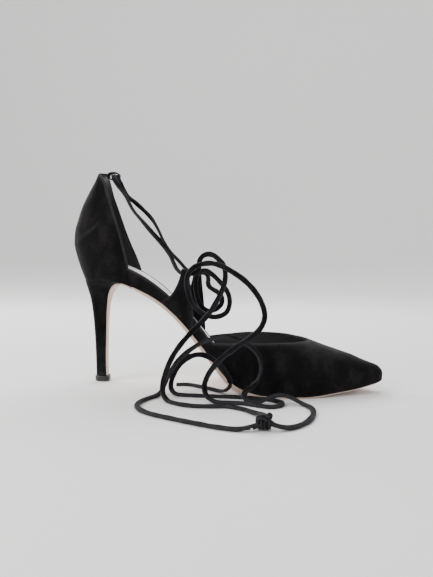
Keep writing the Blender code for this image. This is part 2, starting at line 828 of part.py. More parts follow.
def build_knot():
    """Overhand knot as one lump, waisted by its wrap."""
    levels = np.linspace(0, math.pi, 10)[1:-1]
    angle = np.arange(16) * 2 * math.pi / 16
    rings = []
    for level in levels:
        radius = 5.0 * math.sin(level) ** 0.7 * (1 + 0.12 * math.cos(4 * level))
        ring_x = KNOT[0] + radius * 0.86 * np.cos(angle)
        ring_z = KNOT[2] + radius * np.sin(angle)
        rings.append(np.stack([ring_x, np.full(16, KNOT[1] - 7.6 * math.cos(level)), ring_z], -1))
    return add_object("lace_knot", np.concatenate(rings, 0), wrapped_faces(len(rings), 16), BLACK, 0.9)


def clear_scene():
    for obj in list(bpy.data.objects):
        bpy.data.objects.remove(obj)


clear_scene()
build_upper()
build_insole()
build_outsole()
build_heel()
build_top_lift()
build_tab("medial_tab", -1, 0.0)
build_tab("lateral_tab", 1, -0.5)
build_keeper()
build_knot()
for lace_name, lace_route in (
    ("lace_heel", LACE_HEEL),
    ("lace_medial", LACE_MEDIAL),
    ("lace_lateral", LACE_LATERAL),
    ("lace_end", LACE_END),
    ("lace_tail", LACE_TAIL),
):
    build_lace(lace_name, lace_route)
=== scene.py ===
import math

import bmesh
import bpy
import numpy as np
from mathutils import Matrix, Vector


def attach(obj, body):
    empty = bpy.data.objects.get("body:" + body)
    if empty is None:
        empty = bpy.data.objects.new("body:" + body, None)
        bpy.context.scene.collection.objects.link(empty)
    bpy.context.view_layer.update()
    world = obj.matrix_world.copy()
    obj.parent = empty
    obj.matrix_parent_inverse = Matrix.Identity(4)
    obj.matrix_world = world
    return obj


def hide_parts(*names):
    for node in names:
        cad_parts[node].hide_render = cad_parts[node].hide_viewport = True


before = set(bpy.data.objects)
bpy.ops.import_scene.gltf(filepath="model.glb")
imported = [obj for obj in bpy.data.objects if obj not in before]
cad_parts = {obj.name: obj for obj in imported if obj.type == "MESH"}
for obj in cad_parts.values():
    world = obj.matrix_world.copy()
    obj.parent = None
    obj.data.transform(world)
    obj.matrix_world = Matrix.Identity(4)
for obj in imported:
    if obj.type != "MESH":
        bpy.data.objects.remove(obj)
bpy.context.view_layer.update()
print("frame loaded,", len(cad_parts), "solids")

# The last, in mm: x from the back of the counter to the toe, y - medial and + lateral, z from the floor
last = {
    "centre": (120.98, 0.69, 0.0),  # what lies at the frame's origin
    "length": 240.0,
    "heelX": 27.0,
    "heelRadius": 17.0,
    "toeX": 235.0,
    "bulge": 2.6,
    "bulgeLoss": 0.62,  # share of the bulge that is lost towards the toe
    "bulgeFade": (185, 240),
    "rear": (54, 92),  # x over which the swelled counter passes into the vamp's ellipses
    "slant": 0.23,  # lines of equal height cross the sole at this slope
    "slantStart": (8, 48),
    "throat": 187.0,
    "noseFall": 0.36,
    "counterEnd": 54,
    "vampStart": 96,
    "levelShare": 0.95,  # share of the half width at which the waist's edge meets the footbed
    "levelDrop": 0.5,
    # x, half width medial, half width lateral
    "plan": [
        (10, 19.6, 20.2), (27, 20.4, 21.3), (40, 21.6, 23.0), (55, 21.4, 23.8), (75, 19.8, 24.6),
        (92, 19.2, 26.0), (107, 20.6, 28.6), (122, 24.4, 31.9), (137, 29.3, 34.9), (150, 33.0, 36.6),
        (161, 35.0, 36.8), (171, 35.4, 35.4), (182, 33.5, 32.2), (195, 28.8, 27.2), (210, 21.2, 19.9),
        (222, 14.6, 13.7), (235, 7.2, 7.0), (240, 4.6, 4.6),
    ],
    # x, outsole bottom, outsole top, footbed
    "heights": [
        (10, 81.0, 82.2, 97.4), (20, 80.3, 81.6, 96.6), (30, 79.4, 80.8, 95.0), (40, 77.9, 79.6, 92.8),
        (46, 76.4, 78.0, 90.8), (56, 71.4, 73.8, 86.0), (65, 66.3, 69.2, 80.4), (73, 60.7, 64.0, 74.4),
        (80, 54.8, 58.2, 68.4), (88, 46.6, 50.4, 60.6), (97, 36.2, 40.2, 51.2), (105, 26.6, 30.6, 41.6),
        (113, 16.4, 20.4, 32.0), (121, 7.0, 11.4, 23.0), (129, 1.4, 5.6, 15.0), (137, 0.0, 3.2, 9.6),
        (147, 0.0, 2.8, 6.6), (160, 0.0, 2.8, 5.8), (176, 0.0, 2.8, 5.8), (187, 0.6, 3.3, 6.3),
        (200, 2.0, 4.6, 7.6), (215, 3.7, 6.1, 9.1), (230, 6.3, 8.6, 11.6), (240, 8.6, 10.8, 13.8),
    ],
    # x, ridge of the vamp
    "crest": [
        (60, 150.0), (90, 112.0), (120, 79.0), (140, 62.0), (160, 49.0), (175, 41.9), (187, 37.2),
        (198, 33.4), (207, 30.6), (216, 27.6), (224, 24.4), (235, 20.4),
    ],
    # height over the sole edge, swell at the back, swell at the sides
    "counter": [
        (0, 0.0, 0.0), (10, 4.0, 1.9), (20, 7.3, 3.4), (28, 8.8, 4.0), (36, 8.3, 3.9), (46, 5.6, 3.0),
        (57, 1.8, 0.8), (68, -4.4, -2.6), (78, -11.6, -5.8), (84, -16.8, -8.0),
    ],
    # station, height medial, height lateral
    "counterTop": [
        (0, 165.2, 165.2), (12, 164.5, 164.2), (18, 163.6, 162.2), (22, 162.6, 157.0), (25, 161.4, 149.0),
        (27, 160.0, 143.0), (30, 156.0, 132.6), (32, 151.0, 126.0), (36, 142.0, 114.4), (40, 132.6, 104.6),
        (43.4, 123.4, 96.6), (46.5, 113.6, 88.0), (48.6, 105.4, 78.0), (50.2, 98.0, 66.0), (52, 86.0, 50.0),
        (54, 66.0, 30.0),
    ],
    "vampTop": [
        (96, 56.2, 31), (101, 53.3, 32.6), (106, 47.5, 34), (110, 42.7, 34.6), (113, 38.9, 35),
        (116, 36.4, 35.4), (119, 35.2, 35.7), (130, 35.6, 37), (148, 36.6, 38.4), (165, 37.2, 38.9),
        (178, 37.3, 38.3), (187, 37.4, 37.4),
    ],
}


def through(rows, column):
    # monotone cubic through one column of a table, over its first column
    xs = np.array([row[0] for row in rows], float)
    ys = np.array([row[column] for row in rows], float)
    gap = np.diff(xs)
    rate = np.diff(ys) / gap
    same = rate[:-1] * rate[1:] > 0
    before = 2 * gap[1:] + gap[:-1]
    after = gap[1:] + 2 * gap[:-1]
    left = np.where(same, rate[:-1], 1)
    right = np.where(same, rate[1:], 1)
    middle = np.where(same, (before + after) / (before / left + after / right), 0)
    slope = np.concatenate([rate[:1], middle, rate[-1:]])

    def value(x):
        x = np.clip(x, xs[0], xs[-1])
        i = np.clip(np.searchsorted(xs, x) - 1, 0, len(gap) - 1)
        t = (x - xs[i]) / gap[i]
        start = ys[i] * (1 + 2 * t) * (1 - t) ** 2 + slope[i] * gap[i] * t * (1 - t) ** 2
        return start + ys[i + 1] * t * t * (3 - 2 * t) + slope[i + 1] * gap[i] * t * t * (t - 1)

    return value


def ease(x, a, b):
    # smooth step from 0 at a to 1 at b
    t = np.clip((x - a) / (b - a), 0, 1)
    return t * t * (3 - 2 * t)


def unit(v):
    # v over its own length
    return v / np.maximum(np.linalg.norm(v, axis=-1, keepdims=True), 1e-9)


def signedPower(v, power):
    # size of v to a power, with the sign of v: squares or flattens a circle
    return np.sign(v) * np.abs(v) ** power


def squareTo(v, tangent):
    # what is left of v across the tangent
    return unit(v - tangent * (v * tangent).sum(-1, keepdims=True))


def inFrame(points):
    # shoe millimetres to metres in the frame
    return (np.array(points) - last["centre"]) * 0.001


widthAt = {-1: through(last["plan"], 1), 1: through(last["plan"], 2)}
soleBottom = through(last["heights"], 1)
soleTop = through(last["heights"], 2)
footbedTop = through(last["heights"], 3)
crestAt = through(last["crest"], 1)
swellBack = through(last["counter"], 1)
swellSide = through(last["counter"], 2)
counterTop = {-1: through(last["counterTop"], 1), 1: through(last["counterTop"], 2)}
vampTop = {-1: through(last["vampTop"], 1), 1: through(last["vampTop"], 2)}


def slanted(x, y):
    # x moved along the slanting lines of equal height, which fade out round the heel
    return x + y * last["slant"] * ease(x, *last["slantStart"])


def soleAt(x, y):
    # the sole's upper face at a point of the plan
    return soleTop(slanted(x, y))


def planPoint(station, side):
    # sole edge: a station is x along the sides, an angle round the heel and round the toe tip
    tip = last["length"] - last["toeX"]
    turn = np.clip(station / last["heelX"], 0, 1) * math.pi / 2
    nose = np.clip((station - last["toeX"]) / tip, 0, 1) * math.pi / 2
    x = np.where(station < last["heelX"], last["heelX"] - last["heelRadius"] * np.cos(turn), station)
    x = np.where(station > last["toeX"], last["toeX"] + tip * np.sin(nose), x)
    y = side * widthAt[side](x) * np.sin(turn) * np.cos(nose)
    return x, y, np.sin(turn) ** 2


def planNormal(station, side, chord=0.05):
    # outward normal of the sole edge, from a short chord
    xa, ya, _ = planPoint(np.clip(station - chord, 0, last["length"]), side)
    xb, yb, _ = planPoint(np.clip(station + chord, 0, last["length"]), side)
    size = np.hypot(xb - xa, yb - ya)
    return -side * (yb - ya) / size, side * (xb - xa) / size


def skinPoint(station, rise, side):
    # outside of the upper at a rise over the sole edge: ellipse sections in front, swelled counter behind
    x, y, turn = planPoint(station, side)
    nx, ny = planNormal(station, side)
    base = soleAt(x, y)
    ridgeX = np.minimum(x, last["toeX"])
    up = np.clip(rise / np.maximum(crestAt(ridgeX) - base, 1.0), 0, 1)
    across = np.sqrt(1 - up * up)
    swell = last["bulge"] * (1 - last["bulgeLoss"] * ease(x, *last["bulgeFade"])) * 2 * up * across
    rear = 1 - ease(x, *last["rear"])
    offset = swellBack(rise) * (1 - turn) + swellSide(rise) * turn
    keep = across * (1 - rear) + rear
    push = swell * (1 - rear) + offset * rear
    px = ridgeX + (x - ridgeX) * keep + nx * push
    py = y * keep + ny * push
    fall = last["noseFall"] * (px - ridgeX) * up * ease(x, last["toeX"], last["toeX"] + 1)
    return np.stack([px, py, base + rise - fall], -1)


def topEdge(station, side):
    # rise of the upper's edge: counter, then level with the footbed along the waist, then vamp
    x, y, _ = planPoint(station, side)
    level = footbedTop(slanted(x, y * last["levelShare"])) - last["levelDrop"]
    rear = np.where(station < last["counterEnd"], counterTop[side](station), 0)
    front = np.where(station > last["vampStart"], vampTop[side](station), 0)
    top = np.maximum(np.maximum(rear, front), level)
    top = np.where(station > last["throat"], crestAt(np.minimum(x, last["toeX"])), top)
    return top - soleAt(x, y)


def softNoise(points, size, seed, waves=7):
    # slow waves of about that size in mm: a sum of sines along fixed random directions
    draw = np.random.default_rng(seed)
    total = 0
    for _ in range(waves):
        direction = draw.normal(size=3)
        direction *= 2 * math.pi / (size * draw.uniform(0.7, 1.5)) / np.linalg.norm(direction)
        total = total + np.sin(points @ direction + draw.uniform(0, 6.28))
    return total / waves ** 0.5


# Mesh building: weld in mm, shortest edge in metres, degrees from which a fold or cap keeps its corner
meshing = {"weld": 0.004, "shortest": 1e-7, "corner": 48}


def gridFaces(rows, columns):
    # quads of a grid whose points are numbered row by row
    r, c = np.meshgrid(np.arange(rows - 1), np.arange(columns - 1), indexing="ij")
    first = (r * columns + c).ravel()
    return np.stack([first, first + 1, first + columns + 1, first + columns], -1)


def patch(points, finish=0, wearAndHighlight=0.0):
    # one grid of a piece: points in shoe millimetres, material index and mask of wear and painted highlight
    return points, finish, np.broadcast_to(wearAndHighlight, points.shape[:2])


def addPiece(name, patches, materials, slot, *nodes):
    # joins the grids, merges what meets, turns the faces out and stands for the CAD nodes
    points, faces, finish, wearAndHighlight = [], [], [], []
    count = 0
    for grid, index, wear in patches:
        quads = gridFaces(*grid.shape[:2]) + count
        points.append(grid.reshape(-1, 3))
        faces.append(quads)
        finish.append(np.full(len(quads), index))
        wearAndHighlight.append(wear.reshape(-1))
        count += wear.size
    mesh = bpy.data.meshes.new(name)
    mesh.from_pydata(inFrame(np.concatenate(points)).tolist(), [], np.concatenate(faces).tolist())
    mesh.polygons.foreach_set("material_index", np.concatenate(finish).astype(np.int32))
    # mask of real wear, and of painted highlight along the suede rims, the fold, and the lace and knot edges
    mask = mesh.attributes.new("wearAndHighlight", "FLOAT", "POINT")
    mask.data.foreach_set("value", np.concatenate(wearAndHighlight).astype(np.float32))
    bm = bmesh.new()
    bm.from_mesh(mesh)
    bmesh.ops.remove_doubles(bm, verts=bm.verts, dist=meshing["weld"] * 0.001)
    bmesh.ops.dissolve_degenerate(bm, edges=bm.edges, dist=meshing["shortest"])
    bmesh.ops.recalc_face_normals(bm, faces=bm.faces)
    if bm.calc_volume(signed=True) < 0:
        bmesh.ops.reverse_faces(bm, faces=bm.faces)
    bm.to_mesh(mesh)
    bm.free()
    mesh.polygons.foreach_set("use_smooth", np.ones(len(mesh.polygons), bool))
    mesh.set_sharp_from_angle(angle=math.radians(meshing["corner"]))
    for material in materials:
        mesh.materials.append(material)
    piece = bpy.data.objects.new(name, mesh)
    bpy.context.scene.collection.objects.link(piece)
    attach(piece, "root")
    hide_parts(*nodes)
    edges = np.zeros(len(mesh.loops), np.int32)
    mesh.loops.foreach_get("edge_index", edges)
    print("piece", name, len(mesh.polygons), "faces", np.sum(np.bincount(edges) == 1), "open edges")
    return piece


def disc(ring):
    # closes a ring of points with a fan to its middle
    return np.stack([ring, np.broadcast_to(ring.mean(0), ring.shape)])


# Finishes


def feed(tree, node, values):
    # links what comes from another node and sets what is a plain value
    for key, value in values.items():
        if isinstance(value, bpy.types.NodeSocket):
            tree.links.new(value, node.inputs[key])
        else:
            node.inputs[key].default_value = value
    return node


def addNode(tree, kind, values, **settings):
    node = tree.nodes.new(kind)
    for key, value in settings.items():
        setattr(node, key, value)
    return feed(tree, node, values)


def timesPlus(tree, a, b, c=0.0):
    # a times b plus c
    return addNode(tree, "ShaderNodeMath", {0: a, 1: b, 2: c}, operation="MULTIPLY_ADD").outputs[0]


def noise(tree, place, scale, detail, **values):
    values = {"Vector": place, "Scale": scale, "Detail": detail, **values}
    return addNode(tree, "ShaderNodeTexNoise", values).outputs[0]


def newGroup(name, scales):
    # takes a place and scales; gives shade, height, and a mask of what rubs off first
    group = bpy.data.node_groups.new(name, "ShaderNodeTree")
    group.interface.new_socket("Place", in_out="INPUT", socket_type="NodeSocketVector")
    for way, labels in (("INPUT", scales), ("OUTPUT", ("Shade", "Height", "Rub"))):
        for label in labels:
            group.interface.new_socket(label, in_out=way, socket_type="NodeSocketFloat")
    return group, group.nodes.new("NodeGroupInput").outputs, group.nodes.new("NodeGroupOutput")


nap = {
    "brushed": {"Rotation": (0.35, 0.85, 0.0), "Scale": (1.2, 1.1, 0.72)},  # lie of the patches
    "spread": {"From Min": 0.24, "From Max": 0.76},  # the part of their range that is used
    "mottle": 420.0,  # spots in a metre
    "fibre": 2600.0,
    "shade": (0.45, 0.33, 0.22),  # shares of patches, mottle and fibre
    "height": (0.55, 0.45),  # shares of mottle and fibre
    "rub": (1.3, -0.1),  # times the height, plus
}
grain = {
    "pores": 3200.0,  # in a metre
    "height": (0.8, 0.25),  # shares of cells and pores
    "rub": (0.9, 0.2),  # times the cloud, plus
}


def makeNapGroup():
    # nap of suede: brushed patches, mottle and fibre ends, summed by their shares
    group, source, result = newGroup("suedeNap", ["Patch"])
    place = source["Place"]
    brushed = addNode(group, "ShaderNodeMapping", {"Vector": place, **nap["brushed"]}).outputs[0]
    patches = noise(group, brushed, source["Patch"], 2.5, Distortion=0.3)
    mottle = noise(group, place, nap["mottle"], 4.0, Roughness=0.65)
    fibre = noise(group, place, nap["fibre"], 2.0, Roughness=0.6)
    broad = addNode(group, "ShaderNodeMapRange", {"Value": patches, **nap["spread"]}).outputs[0]
    shade = 0.0
    for part, share in zip((broad, mottle, fibre), nap["shade"]):
        shade = timesPlus(group, part, share, shade)
    relief = timesPlus(group, mottle, nap["height"][0], timesPlus(group, fibre, nap["height"][1]))
    feed(group, result, {"Shade": shade, "Height": relief, "Rub": timesPlus(group, relief, *nap["rub"])})
    return group


def makeGrainGroup():
    # grain of smooth leather: cells with fine pores, and slow clouds
    group, source, result = newGroup("leatherGrain", ["Cells", "Clouds"])
    place = source["Place"]
    spots = {"Vector": place, "Scale": source["Cells"]}
    cells = addNode(group, "ShaderNodeTexVoronoi", spots, feature="SMOOTH_F1").outputs["Distance"]
    pores = noise(group, place, grain["pores"], 2.0)
    cloud = noise(group, place, source["Clouds"], 4.0)
    relief = timesPlus(group, cells, grain["height"][0], timesPlus(group, pores, grain["height"][1]))
    feed(group, result, {"Shade": cloud, "Height": relief, "Rub": timesPlus(group, cloud, *grain["rub"])})
    return group


def ramp(tree, value, stops, colors):
    node = addNode(tree, "ShaderNodeValToRGB", {"Fac": value})
    elements = node.color_ramp.elements
    while len(elements) < len(stops):
        elements.new(0.5)
    for element, position, color in zip(elements, stops, colors):
        element.position = position
        element.color = (*color, 1.0)
    return node.outputs["Color"]


def newMaterial(name):
    material = bpy.data.materials.new(name)
    material.use_nodes = True
    return material, material.node_tree, material.node_tree.nodes["Principled BSDF"]


def surface(name, group, look):
    # colour and roughness from the group's shade, the rubbed colour where the mask of wear and painted
    # highlight is set, bump from the group's height
    material, tree, shader = newMaterial(name)
    place = addNode(tree, "ShaderNodeTexCoord", {}).outputs["Object"]
    effect = addNode(tree, "ShaderNodeGroup", {"Place": place, **look["scales"]}, node_tree=group).outputs
    color = ramp(tree, effect["Shade"], look["stops"], look["colors"])
    wearAndHighlight = addNode(tree, "ShaderNodeAttribute", {}, attribute_name="wearAndHighlight").outputs["Fac"]
    mixed = {0: timesPlus(tree, wearAndHighlight, effect["Rub"]), 6: color, 7: (*look["rubbed"], 1.0)}
    relief = {"Height": effect["Height"], "Strength": look["bump"], "Distance": look["depth"]}
    feed(tree, shader, {
        "Base Color": addNode(tree, "ShaderNodeMix", mixed, data_type="RGBA").outputs[2],
        "Roughness": timesPlus(tree, effect["Shade"], look["roughSpan"], look["rough"]),
        "Normal": addNode(tree, "ShaderNodeBump", relief).outputs[0],
        **look["gloss"],
    })
    return material


# Looks: colours at the stops of the shade, roughness and its span over the shade, depth of the bump in metres
suedeLook = {
    "stops": (0.36, 0.5, 0.66),
    "colors": [(0.0032, 0.0030, 0.0033), (0.0054, 0.0050, 0.0054), (0.0118, 0.0108, 0.0115)],
    # lighter suede: worn nap, and painted highlight where it is laid along rims, edges and the fold
    "rubbed": (0.060, 0.056, 0.061),
    "scales": {"Patch": 70.0},
    "rough": 0.78,
    "roughSpan": 0.2,
    "bump": 0.6,
    "depth": 0.0004,
    "gloss": {
        "Specular IOR Level": 0.07,
        "Sheen Weight": 0.10,
        "Sheen Roughness": 0.36,
        "Sheen Tint": (0.86, 0.85, 0.92, 1.0),
    },
}
laceLook = {
    **suedeLook,
    "colors": [(0.0032, 0.0030, 0.0033), (0.0082, 0.0081, 0.0092), (0.0135, 0.0132, 0.0150)],
    "scales": {"Patch": 90.0},
    "bump": 0.7,
    "gloss": {**suedeLook["gloss"], "Sheen Weight": 0.12},
}
smoothLook = {"stops": (0.35, 0.65), "roughSpan": 0.22, "depth": 0.0002, "gloss": {}}
smoothLooks = {
    "liningLeather": {
        "colors": [(0.008, 0.008, 0.009), (0.014, 0.0135, 0.015)], "rubbed": (0.05, 0.048, 0.05),
        "scales": {"Cells": 1500.0, "Clouds": 60.0}, "rough": 0.45, "bump": 0.25,
    },
    "footbedLeather": {
        "colors": [(0.80, 0.79, 0.785), (0.90, 0.89, 0.885)], "rubbed": (0.68, 0.655, 0.63),
        "scales": {"Cells": 1300.0, "Clouds": 45.0}, "rough": 0.24, "bump": 0.18,
    },
    "soleLeather": {
        "colors": [(0.59, 0.425, 0.345), (0.70, 0.525, 0.435)], "rubbed": (0.44, 0.32, 0.26),
        "scales": {"Cells": 900.0, "Clouds": 55.0}, "rough": 0.34, "bump": 0.2,
    },
    "liftRubber": {
        "colors": [(0.009, 0.009, 0.0097), (0.018, 0.018, 0.019)], "rubbed": (0.07, 0.068, 0.066),
        "scales": {"Cells": 1900.0, "Clouds": 160.0}, "rough": 0.33, "bump": 0.3,
    },
    "rawTip": {
        "colors": [(0.46, 0.43, 0.40), (0.62, 0.59, 0.55)], "rubbed": (0.68, 0.65, 0.61),
        "scales": {"Cells": 2600.0, "Clouds": 900.0}, "rough": 0.6, "bump": 0.6,
    },
}
napGroup = makeNapGroup()
grainGroup = makeGrainGroup()
upperSuede = surface("upperSuede", napGroup, suedeLook)
heelSuede = surface("heelSuede", napGroup, {**suedeLook, "scales": {"Patch": 80.0}})
tabSuede = surface("tabSuede", napGroup, {**suedeLook, "scales": {"Patch": 85.0}})
laceSuede = surface("laceSuede", napGroup, laceLook)
smooth = {name: surface(name, grainGroup, {**smoothLook, **look}) for name, look in smoothLooks.items()}
print("finishes ready")

# Camera: the photo's eye point, 433 x 577 frame, long side upright
shot = {
    "eye": (182.0, -397.5, 93.0),
    "aim": (115.5, 0.0, 75.1),
    "roll": 0.2,  # degrees, picture turned clockwise
    "focal": 521.0,  # pixels
    "frameHeight": 577.0,
    "sensor": 36.0,
    "clip": (0.01, 20.0),
}
camera = bpy.data.objects.new("camera", bpy.data.cameras.new("camera"))
camera.data.sensor_width = shot["sensor"]
camera.data.lens = shot["focal"] * shot["sensor"] / shot["frameHeight"]
camera.data.clip_start, camera.data.clip_end = shot["clip"]
eye = Vector(inFrame(shot["eye"]))
ahead = Vector(inFrame(shot["aim"])) - eye
turn = ahead.to_track_quat("-Z", "Y").to_matrix() @ Matrix.Rotation(math.radians(shot["roll"]), 3, "Z")
camera.rotation_mode = "QUATERNION"
camera.rotation_quaternion = turn.to_quaternion()
camera.location = eye
bpy.context.scene.collection.objects.link(camera)
bpy.context.scene.camera = camera
print("camera set")

# The lace: one flat suede band, folded so that a groove runs along its middle
lace = {
    "halfWidth": 1.9,
    "halfThick": 1.2,
    "squareWide": 0.75,  # powers that square the oval section
    "squareThick": 0.7,
    "groove": 0.42,
    "grooveWidth": 0.55,
    "puff": 0.05,  # share by which the section swells and shrinks, and over what length
    "puffSize": 9.0,
    "step": 0.9,
    "spanSteps": 24,  # points between two of the route, before they are spaced evenly
    "around": 30,
    "routeFloor": 1.9,  # height of the route where it lies on the floor
    "floor": 1.35,  # height of the band's middle there
    "lifted": 6.0,  # height from which the route is followed as it is
    "lies": (4, 18),  # heights between which the flat side turns from upward to the viewer's side
    "level": (0.5, 0.9),  # the same for a run towards the viewer, by its direction
    "facing": (0, -1.0, 0.15),
    "evened": 9,  # steps over which the turning is smoothed
    "twist": 14.0,  # degrees of slow roll
    "twistWaves": ((17, 23), (7, 10)),
    "twistRise": (2, 9),
    # degrees by which a standing strand turns its edge to the viewer, and heights where it does so
    "edgeOn": {"laceHeel": 64.0, "laceEnd": 58.0},
    "edgeRise": (6, 16),
    "edgeFall": (148, 159),
    # lighter band edges, this strong over this share of the half width: edge wear and painted highlight
    "rubbed": 0.75,
    "rubbedFrom": (0.55, 1.0),  # share of the half width
    "cap": [(0.86, 0.22), (0.4, 0.3), (0.0, 0.3)],  # share of the section and step out of each ring
    "capWorn": 0.6,
    "rawWorn": 0.8,
}
# Where the strands run, point by point, in mm
laceRoutes = {
    "laceHeel": [
        (99, -18.1, 87), (92.4, -18.1, 87), (88.6, -17.2, 89.6), (85.4, -15.6, 94.6), (82, -13.8, 101),
        (75, -13, 110), (67.5, -12.5, 118), (59, -12, 127.5), (53.6, -12, 133.6), (50.2, -12, 139),
        (47.6, -12, 144.4), (44.4, -12, 149.2), (41, -12, 153.6), (38, -11.6, 158.2), (35.6, -8.6, 161.8),
        (34.2, -4.2, 163.2), (33.9, 0, 163.3), (34, 4.2, 163.2), (34.4, 8.4, 161.2), (35, 11.4, 157.4),
        (37.4, 12, 152.8), (40.6, 12, 148.4), (46, 12, 144), (52.4, 12, 138.4), (60, 12, 130.6),
        (65.5, 12.5, 121.5), (70, 13, 112), (75.5, 14.5, 103.5), (82, 19, 95.4), (87, 23, 89.2),
        (91.2, 25.1, 87), (97.8, 25.1, 87),
    ],
    "laceMedial": [
        (98.8, -18.1, 87), (100.5, -18.1, 87), (103, -18.2, 87.6), (105, -18.8, 89.8), (105.8, -19.8, 93),
        (106.4, -21.2, 96.4), (108.8, -22.8, 99.5), (112.9, -24.8, 101.1), (118.1, -27.8, 100.1),
        (122.3, -30.2, 97), (125.4, -32, 93.8), (127.2, -33.6, 89), (127.5, -34.6, 83.6),
        (126.4, -36, 77.6), (124, -37.2, 71.8), (120.6, -38.6, 65.2), (116.4, -40.2, 58.6),
        (109, -42.6, 50.5), (103.5, -44.2, 44.5), (98.5, -45.6, 38.5), (94, -46.8, 32), (90.4, -47.8, 25),
        (87.8, -49, 17.5), (86.6, -51, 10.5), (88, -55, 4.8), (93, -60, 2), (101, -65, 1.9),
        (112, -68, 1.9), (123, -67, 1.9), (134, -65.5, 1.9), (144, -69.5, 1.9), (152, -77, 2.2),
        (157.6, -85, 3.4), (160.9, -95.4, 5.1), (161.1, -99.2, 5.9), (160.8, -102.8, 5.8),
        (160.6, -107.0, 5.2),
    ],
    "laceLateral": [
        (97.6, 25.1, 87), (99.2, 25.1, 87), (101.8, 25, 86.6), (104, 24, 84.6), (105, 22, 81.6),
        (105.4, 19.2, 78.6), (107, 16.2, 75.8), (110.8, 13, 73.6), (115.1, 9.6, 71.5), (118.6, 6.8, 67.6),
        (118.8, 3.8, 62.9), (115.2, 1.2, 59), (110.2, -0.8, 57.6), (105.4, -2.5, 60), (102.8, -4.2, 64),
        (101.2, -6, 69.6), (100.6, -7.3, 75.5), (100.9, -8.7, 81.4), (102.4, -10, 85.8),
        (105.4, -11.2, 88.5), (109.8, -12.5, 88.9), (115.5, -13.8, 85.4), (121.3, -15, 79.9),
        (125.7, -16.1, 74.6), (128, -17.2, 69.2), (128.2, -18.4, 63.4), (126, -19.5, 58.3),
        (120.9, -20.6, 55.6), (114.8, -21.6, 55.4), (108.3, -22.8, 58.3), (102.2, -24.2, 64.2),
        (98.9, -25.2, 71.8), (97.8, -26, 78.2), (98, -26.8, 83.2), (99.8, -27.6, 87.6), (103, -28.9, 91),
        (107.1, -30.4, 93), (112, -31.9, 94.2), (116.8, -33.4, 94.5), (121.6, -35.2, 93.7),
        (126.4, -37, 92), (133, -39, 88.6), (141.5, -40.8, 83), (149, -42.2, 75.5), (154.2, -43.4, 67),
        (156.2, -44.6, 58.5), (153.8, -46, 51), (147, -47.6, 44.5), (138.5, -48.8, 38.5), (130, -49.6, 32),
        (123, -50.2, 25), (118, -50.8, 17.5), (116, -51.8, 10.5), (118, -53.6, 4.6), (124, -55.2, 2),
        (133, -55.6, 1.9), (143, -56, 1.9), (153, -59.5, 1.9), (162, -61.5, 1.9), (168.4, -56, 1.9),
        (167.4, -48.2, 1.9), (160, -43.6, 1.9), (150, -41.2, 1.9), (137, -40.2, 1.9), (123, -40.6, 1.9),
        (110, -41, 1.9), (99, -41, 1.9), (98.2, -41, 1.9), (92.4, -40, 2.4), (88.6, -36.4, 5),
        (88.4, -33, 10.2), (91.4, -32.4, 17.2), (96.4, -32.8, 23.4), (102.6, -33.4, 27.6),
        (110, -34.2, 29.2), (117.6, -35.4, 27), (123.6, -36.2, 22.6), (128.2, -36.8, 17.4),
        (131.2, -36.4, 12.2), (130.9, -34.2, 7.2), (127.4, -30.4, 3.6), (122, -25.6, 2.1), (115, -20, 1.9),
        (105, -13.5, 1.9), (95, -8.5, 1.9), (86, -10, 1.9),
    ],
    "laceEnd": [
        (163.4, -105.2, 4.8), (166.7, -106.6, 3.7), (174.6, -104.4, 2.2), (183, -94.5, 1.9),
        (187.5, -82, 1.9), (189, -70, 1.9), (187.4, -59, 1.9), (182.4, -51.6, 2.2), (175.4, -49.4, 4.6),
        (168.2, -49.6, 6.4), (161, -50.6, 5), (154.4, -51.4, 2.4), (148.4, -51.2, 2.1), (144.2, -49.4, 3),
        (142.8, -46.8, 5), (144.2, -44.8, 7.2), (147.6, -44, 9.6), (150.6, -43.8, 12.9),
        (152.8, -43.8, 17.2), (154, -44, 22), (153.7, -44.1, 27.2), (151.8, -44, 32), (148.2, -43.8, 36.2),
        (143, -43.3, 39.7), (136.4, -42.8, 42.4), (128.6, -42.4, 43.6), (120, -42, 41.9),
        (111.4, -41.4, 38.4), (103.6, -40.6, 33.4), (97, -39.6, 27.8), (91.6, -38.6, 21.4),
        (87.6, -37.8, 14.6), (84.6, -38, 8), (82.6, -41.6, 3.2), (80, -48, 1.9), (76.4, -56, 1.9),
        (74.4, -65, 1.9), (75.6, -74.6, 1.9), (80.6, -83, 1.9), (89, -90, 1.9), (101, -96, 1.9),
        (117, -103, 1.9), (133, -109, 1.9), (146, -111.4, 2), (156.4, -108.7, 3.5), (159.6, -106.4, 4.7),
    ],
}


